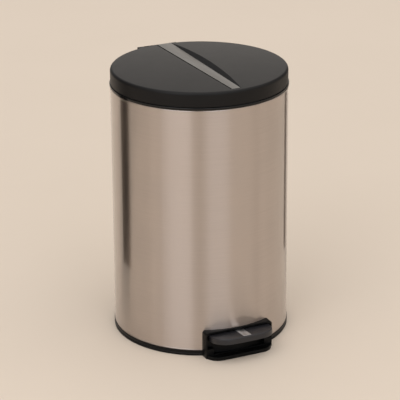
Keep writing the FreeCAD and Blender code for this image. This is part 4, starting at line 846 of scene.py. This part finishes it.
def bail_route():
    """Centre line of the bail: a stub in each boss, a bend, and the long arc between them."""
    points = [Vector((bail_high.x, 0, BAIL_Z)), Vector((BAIL_R + BAIL_BEND + 2 * MM, 0, BAIL_Z))]
    for step in range(BEND_STEPS + 1):
        turn = math.radians(90 + 90 * step / BEND_STEPS)
        points.append(Vector((BAIL_R + BAIL_BEND + BAIL_BEND * math.cos(turn),
                              -BAIL_BEND + BAIL_BEND * math.sin(turn), BAIL_Z)))
    mirrored = [Vector((-point.x, point.y, point.z)) for point in reversed(points)]
    for step in range(1, BAIL_STEPS):
        points.append(on_bail(math.radians(-180 * step / BAIL_STEPS)))
    return points + mirrored


def on_bail(turn):
    """A point of the bail's long arc."""
    return Vector((BAIL_R * math.cos(turn), -BAIL_BEND + BAIL_R * math.sin(turn), BAIL_Z))


def make_bail():
    """The wire, and a ribbed sleeve round the middle of its arc."""
    route = bail_route()
    piece("bail_rod", tube_mesh("bail", route, [WIRE_R] * len(route)), "bail_wire")
    body = (grip_high.z - grip_low.z) / 2
    half = math.degrees(math.asin(min(1, grip_high.x / (BAIL_R + body))))
    points, radii = [], []
    for step in range(GRIP_STEPS + 1):
        share = step / GRIP_STEPS
        points.append(on_bail(math.radians(270 - half + 2 * half * share)))
        end = min(share, 1 - share) * GRIP_STEPS
        wave = 0.5 - 0.5 * math.cos(2 * math.pi * share * GRIP_RIBS)
        rib = GRIP_RIB_DEEP * wave if end > GRIP_PLAIN else 0
        radii.append((body - rib) * min(1, 0.86 + end * 0.05))
    piece("bail_sleeve", tube_mesh("grip", points, radii, 36), "bail_grip", sharp=50)


make_shell()
make_collar()
make_base_ring()
make_pan_ribs()
make_pads()
make_pin("hinge_pin", "hinge_axle")
make_pin("lever_pivot_pin", "lever_axle")
make_lid()
make_strip()
make_liner()
make_liner_screws()
make_bumpers()
make_bucket()
make_bail()
softened("hinge_housing", 1.0 * MM)
softened("pedal_housing", 0.7 * MM)
softened("lid_hinge_bracket", 0.5 * MM)
softened("pedal_lever", 0.35 * MM)
softened("pedal_pad", 0.5 * MM)
softened("pedal_inlay", 0.25 * MM).data.materials[0] = inlay_finish
softened("rod_guide_lower", 0.5 * MM)
softened("rod_guide_upper", 0.5 * MM)


# ---- camera, light and floor -------------------------------------------------------

VIEW_TURN = math.radians(25.1)        # camera to the left of the pedal side
VIEW_DROP = math.radians(20.95)       # camera looks down by this much
VIEW_ROLL = math.radians(-0.368)
VIEW_DISTANCE = 3.016
VIEW_HEIGHT = 1.371
LENS = 174.9

# Soft panels all round the bin: heading in degrees from the camera's side, brightness, colour.
PANEL_WARM = (1.0, 0.93, 0.86)
PANEL_COOL = (0.93, 0.95, 1.0)
PANELS = [
    (-180, 0.95, PANEL_WARM), (-150, 0.25, PANEL_COOL), (-131, 0.20, PANEL_WARM), (-120, 0.02, PANEL_WARM),
    (-102, 0.02, PANEL_WARM), (-94, 0.50, PANEL_WARM), (-68, 0.45, PANEL_WARM), (-61, 0.85, PANEL_WARM),
    (-53, 0.50, PANEL_WARM), (-44, 1.10, PANEL_COOL), (-24, 1.20, PANEL_COOL), (-13, 1.20, PANEL_COOL),
    (-6, 0.22, PANEL_WARM), (3, 0.30, PANEL_WARM), (12, 1.25, PANEL_COOL), (33, 1.30, PANEL_COOL),
    (42, 0.70, PANEL_WARM), (68, 0.70, PANEL_WARM), (78, 0.30, PANEL_WARM), (87, 0.80, PANEL_WARM),
    (98, 0.50, PANEL_WARM), (130, 0.40, PANEL_WARM), (150, 0.02, PANEL_WARM), (166, 0.80, PANEL_WARM),
    (180, 0.95, PANEL_WARM),
]
STUDIO_LEVEL = 1.0
CEILING_FROM, CEILING_FULL = 0.55, 0.9   # upward share of a direction where the ceiling fades in
CEILING_COLOUR = (1.5, 1.47, 1.44)
FLAG_AWAY = 0.42                      # distance of the black cards from the bin's axis
FLAG_SHEET = 0.005
FLAG_HEIGHT = 1.2
FLOOR_HALF = 15
FLOOR_THICK = 0.02
WINDOW_PLACE = (-2.1, -1.55, 2.8)
WINDOW_AIM = (0, 0, 0.2)
WINDOW_SIZE = (1.8, 1.8)
WINDOW_POWER = 13


def add_camera():
    """Camera where the photo's was, by its turn, drop, roll, distance and height."""
    ahead = Vector((math.sin(VIEW_TURN) * math.cos(VIEW_DROP), math.cos(VIEW_TURN) * math.cos(VIEW_DROP),
                    -math.sin(VIEW_DROP)))
    side = Vector((math.cos(VIEW_TURN), -math.sin(VIEW_TURN), 0))
    up = side.cross(ahead)
    turn = Matrix((side, up, -ahead)).transposed().to_4x4()
    place = Vector((-math.sin(VIEW_TURN) * VIEW_DISTANCE, -math.cos(VIEW_TURN) * VIEW_DISTANCE, VIEW_HEIGHT))
    data = bpy.data.cameras.new("view")
    data.lens = LENS
    data.sensor_width = 36
    data.clip_start = 0.05
    camera = bpy.data.objects.new("view", data)
    camera.matrix_world = Matrix.Translation(place) @ turn @ Matrix.Rotation(VIEW_ROLL, 4, "Z")
    bpy.context.scene.collection.objects.link(camera)
    bpy.context.scene.camera = camera


def add_light(name, place, aim, size, power, colour):
    """Rectangular light at a place, turned towards its aim."""
    data = bpy.data.lights.new(name, "AREA")
    data.shape = "RECTANGLE"
    data.size, data.size_y = size
    data.energy = power
    data.color = colour
    light = bpy.data.objects.new(name, data)
    light.location = place
    light.rotation_euler = (Vector(aim) - Vector(place)).to_track_quat("-Z", "Y").to_euler()
    bpy.context.scene.collection.objects.link(light)


def add_floor():
    """Pale matt floor for the bin to stand on."""
    mesh = block_mesh("floor", (-FLOOR_HALF, -FLOOR_HALF, -FLOOR_THICK), (FLOOR_HALF, FLOOR_HALF, 0))
    floor = bpy.data.objects.new("floor", mesh)
    bpy.context.scene.collection.objects.link(floor)
    g = Graph("floor_pale", Roughness=0.9, Specular_IOR_Level=0.0)
    g.out("Base Color", g.blend(g.noise(g.place, 3.0), (0.700, 0.605, 0.508), (0.726, 0.630, 0.531)))
    mesh.materials.append(g.material)


def add_flag(name, heading, half):
    """Black card beside the bin that only reflections see: it draws a dark band down the steel."""
    turn = Matrix.Rotation(math.radians(heading) - VIEW_TURN, 4, "Z")
    card = block_mesh(name, (-half, -FLAG_AWAY - FLAG_SHEET, 0), (half, -FLAG_AWAY, FLAG_HEIGHT))
    flag = bpy.data.objects.new(name, moved(card, turn))
    bpy.context.scene.collection.objects.link(flag)
    g = Graph(name + "_black", Roughness=1.0, Specular_IOR_Level=0.0)
    g.out("Base Color", g.blend(g.noise(g.place, 3.0), (0.01, 0.01, 0.01), (0.012, 0.012, 0.012)))
    card.materials.append(g.material)
    flag.visible_camera = flag.visible_diffuse = flag.visible_shadow = False


def add_world():
    """Studio of soft upright panels, as brightness round the horizon, under a pale ceiling."""
    world = bpy.data.worlds.new("studio")
    bpy.context.scene.world = world
    world.use_nodes = True
    tree = world.node_tree
    place = tree.nodes.new("ShaderNodeTexCoord").outputs["Generated"]
    split = tree.nodes.new("ShaderNodeSeparateXYZ")
    tree.links.new(place, split.inputs[0])
    # heading 0 is the camera's side (-sin, -cos of its turn), and it grows towards +X
    turned = tree.nodes.new("ShaderNodeMath")
    turned.operation = "ARCTAN2"
    flip = tree.nodes.new("ShaderNodeMath")
    flip.operation = "MULTIPLY"
    flip.inputs[1].default_value = -1
    tree.links.new(split.outputs["Y"], flip.inputs[0])
    tree.links.new(split.outputs["X"], turned.inputs[0])
    tree.links.new(flip.outputs[0], turned.inputs[1])
    shift = tree.nodes.new("ShaderNodeMath")
    shift.operation = "ADD"
    shift.inputs[1].default_value = VIEW_TURN
    tree.links.new(turned.outputs[0], shift.inputs[0])
    wrap = tree.nodes.new("ShaderNodeMath")
    wrap.operation = "WRAP"
    wrap.inputs[1].default_value = math.pi
    wrap.inputs[2].default_value = -math.pi
    tree.links.new(shift.outputs[0], wrap.inputs[0])
    share = tree.nodes.new("ShaderNodeMapRange")
    share.inputs["From Min"].default_value = -math.pi
    share.inputs["From Max"].default_value = math.pi
    tree.links.new(wrap.outputs[0], share.inputs["Value"])
    ramp = tree.nodes.new("ShaderNodeValToRGB")
    tree.links.new(share.outputs["Result"], ramp.inputs["Fac"])
    ramp.color_ramp.interpolation = "EASE"
    elements = ramp.color_ramp.elements
    while len(elements) < len(PANELS):
        elements.new(0.5)
    for element, (heading, _, _) in zip(elements, PANELS):
        element.position = (heading + 180) / 360
    for element, (_, bright, colour) in zip(elements, PANELS):
        element.color = (*[bright * channel for channel in colour], 1)
    ceiling = tree.nodes.new("ShaderNodeMapRange")
    ceiling.inputs["From Min"].default_value = CEILING_FROM
    ceiling.inputs["From Max"].default_value = CEILING_FULL
    tree.links.new(split.outputs["Z"], ceiling.inputs["Value"])
    mix = tree.nodes.new("ShaderNodeMix")
    mix.data_type = "RGBA"
    tree.links.new(ceiling.outputs["Result"], mix.inputs["Factor"])
    tree.links.new(ramp.outputs["Color"], mix.inputs["A"])
    mix.inputs["B"].default_value = (*CEILING_COLOUR, 1)
    background = tree.nodes["Background"]
    background.inputs["Strength"].default_value = STUDIO_LEVEL
    tree.links.new(mix.outputs["Result"], background.inputs["Color"])


add_camera()
add_floor()
add_world()
add_flag("flag_left", -97, 0.063)
add_flag("flag_right", 130, 0.030)
bpy.context.scene.view_settings.view_transform = "Standard"
add_light("window", WINDOW_PLACE, WINDOW_AIM, WINDOW_SIZE, WINDOW_POWER, (1.0, 0.99, 0.97))
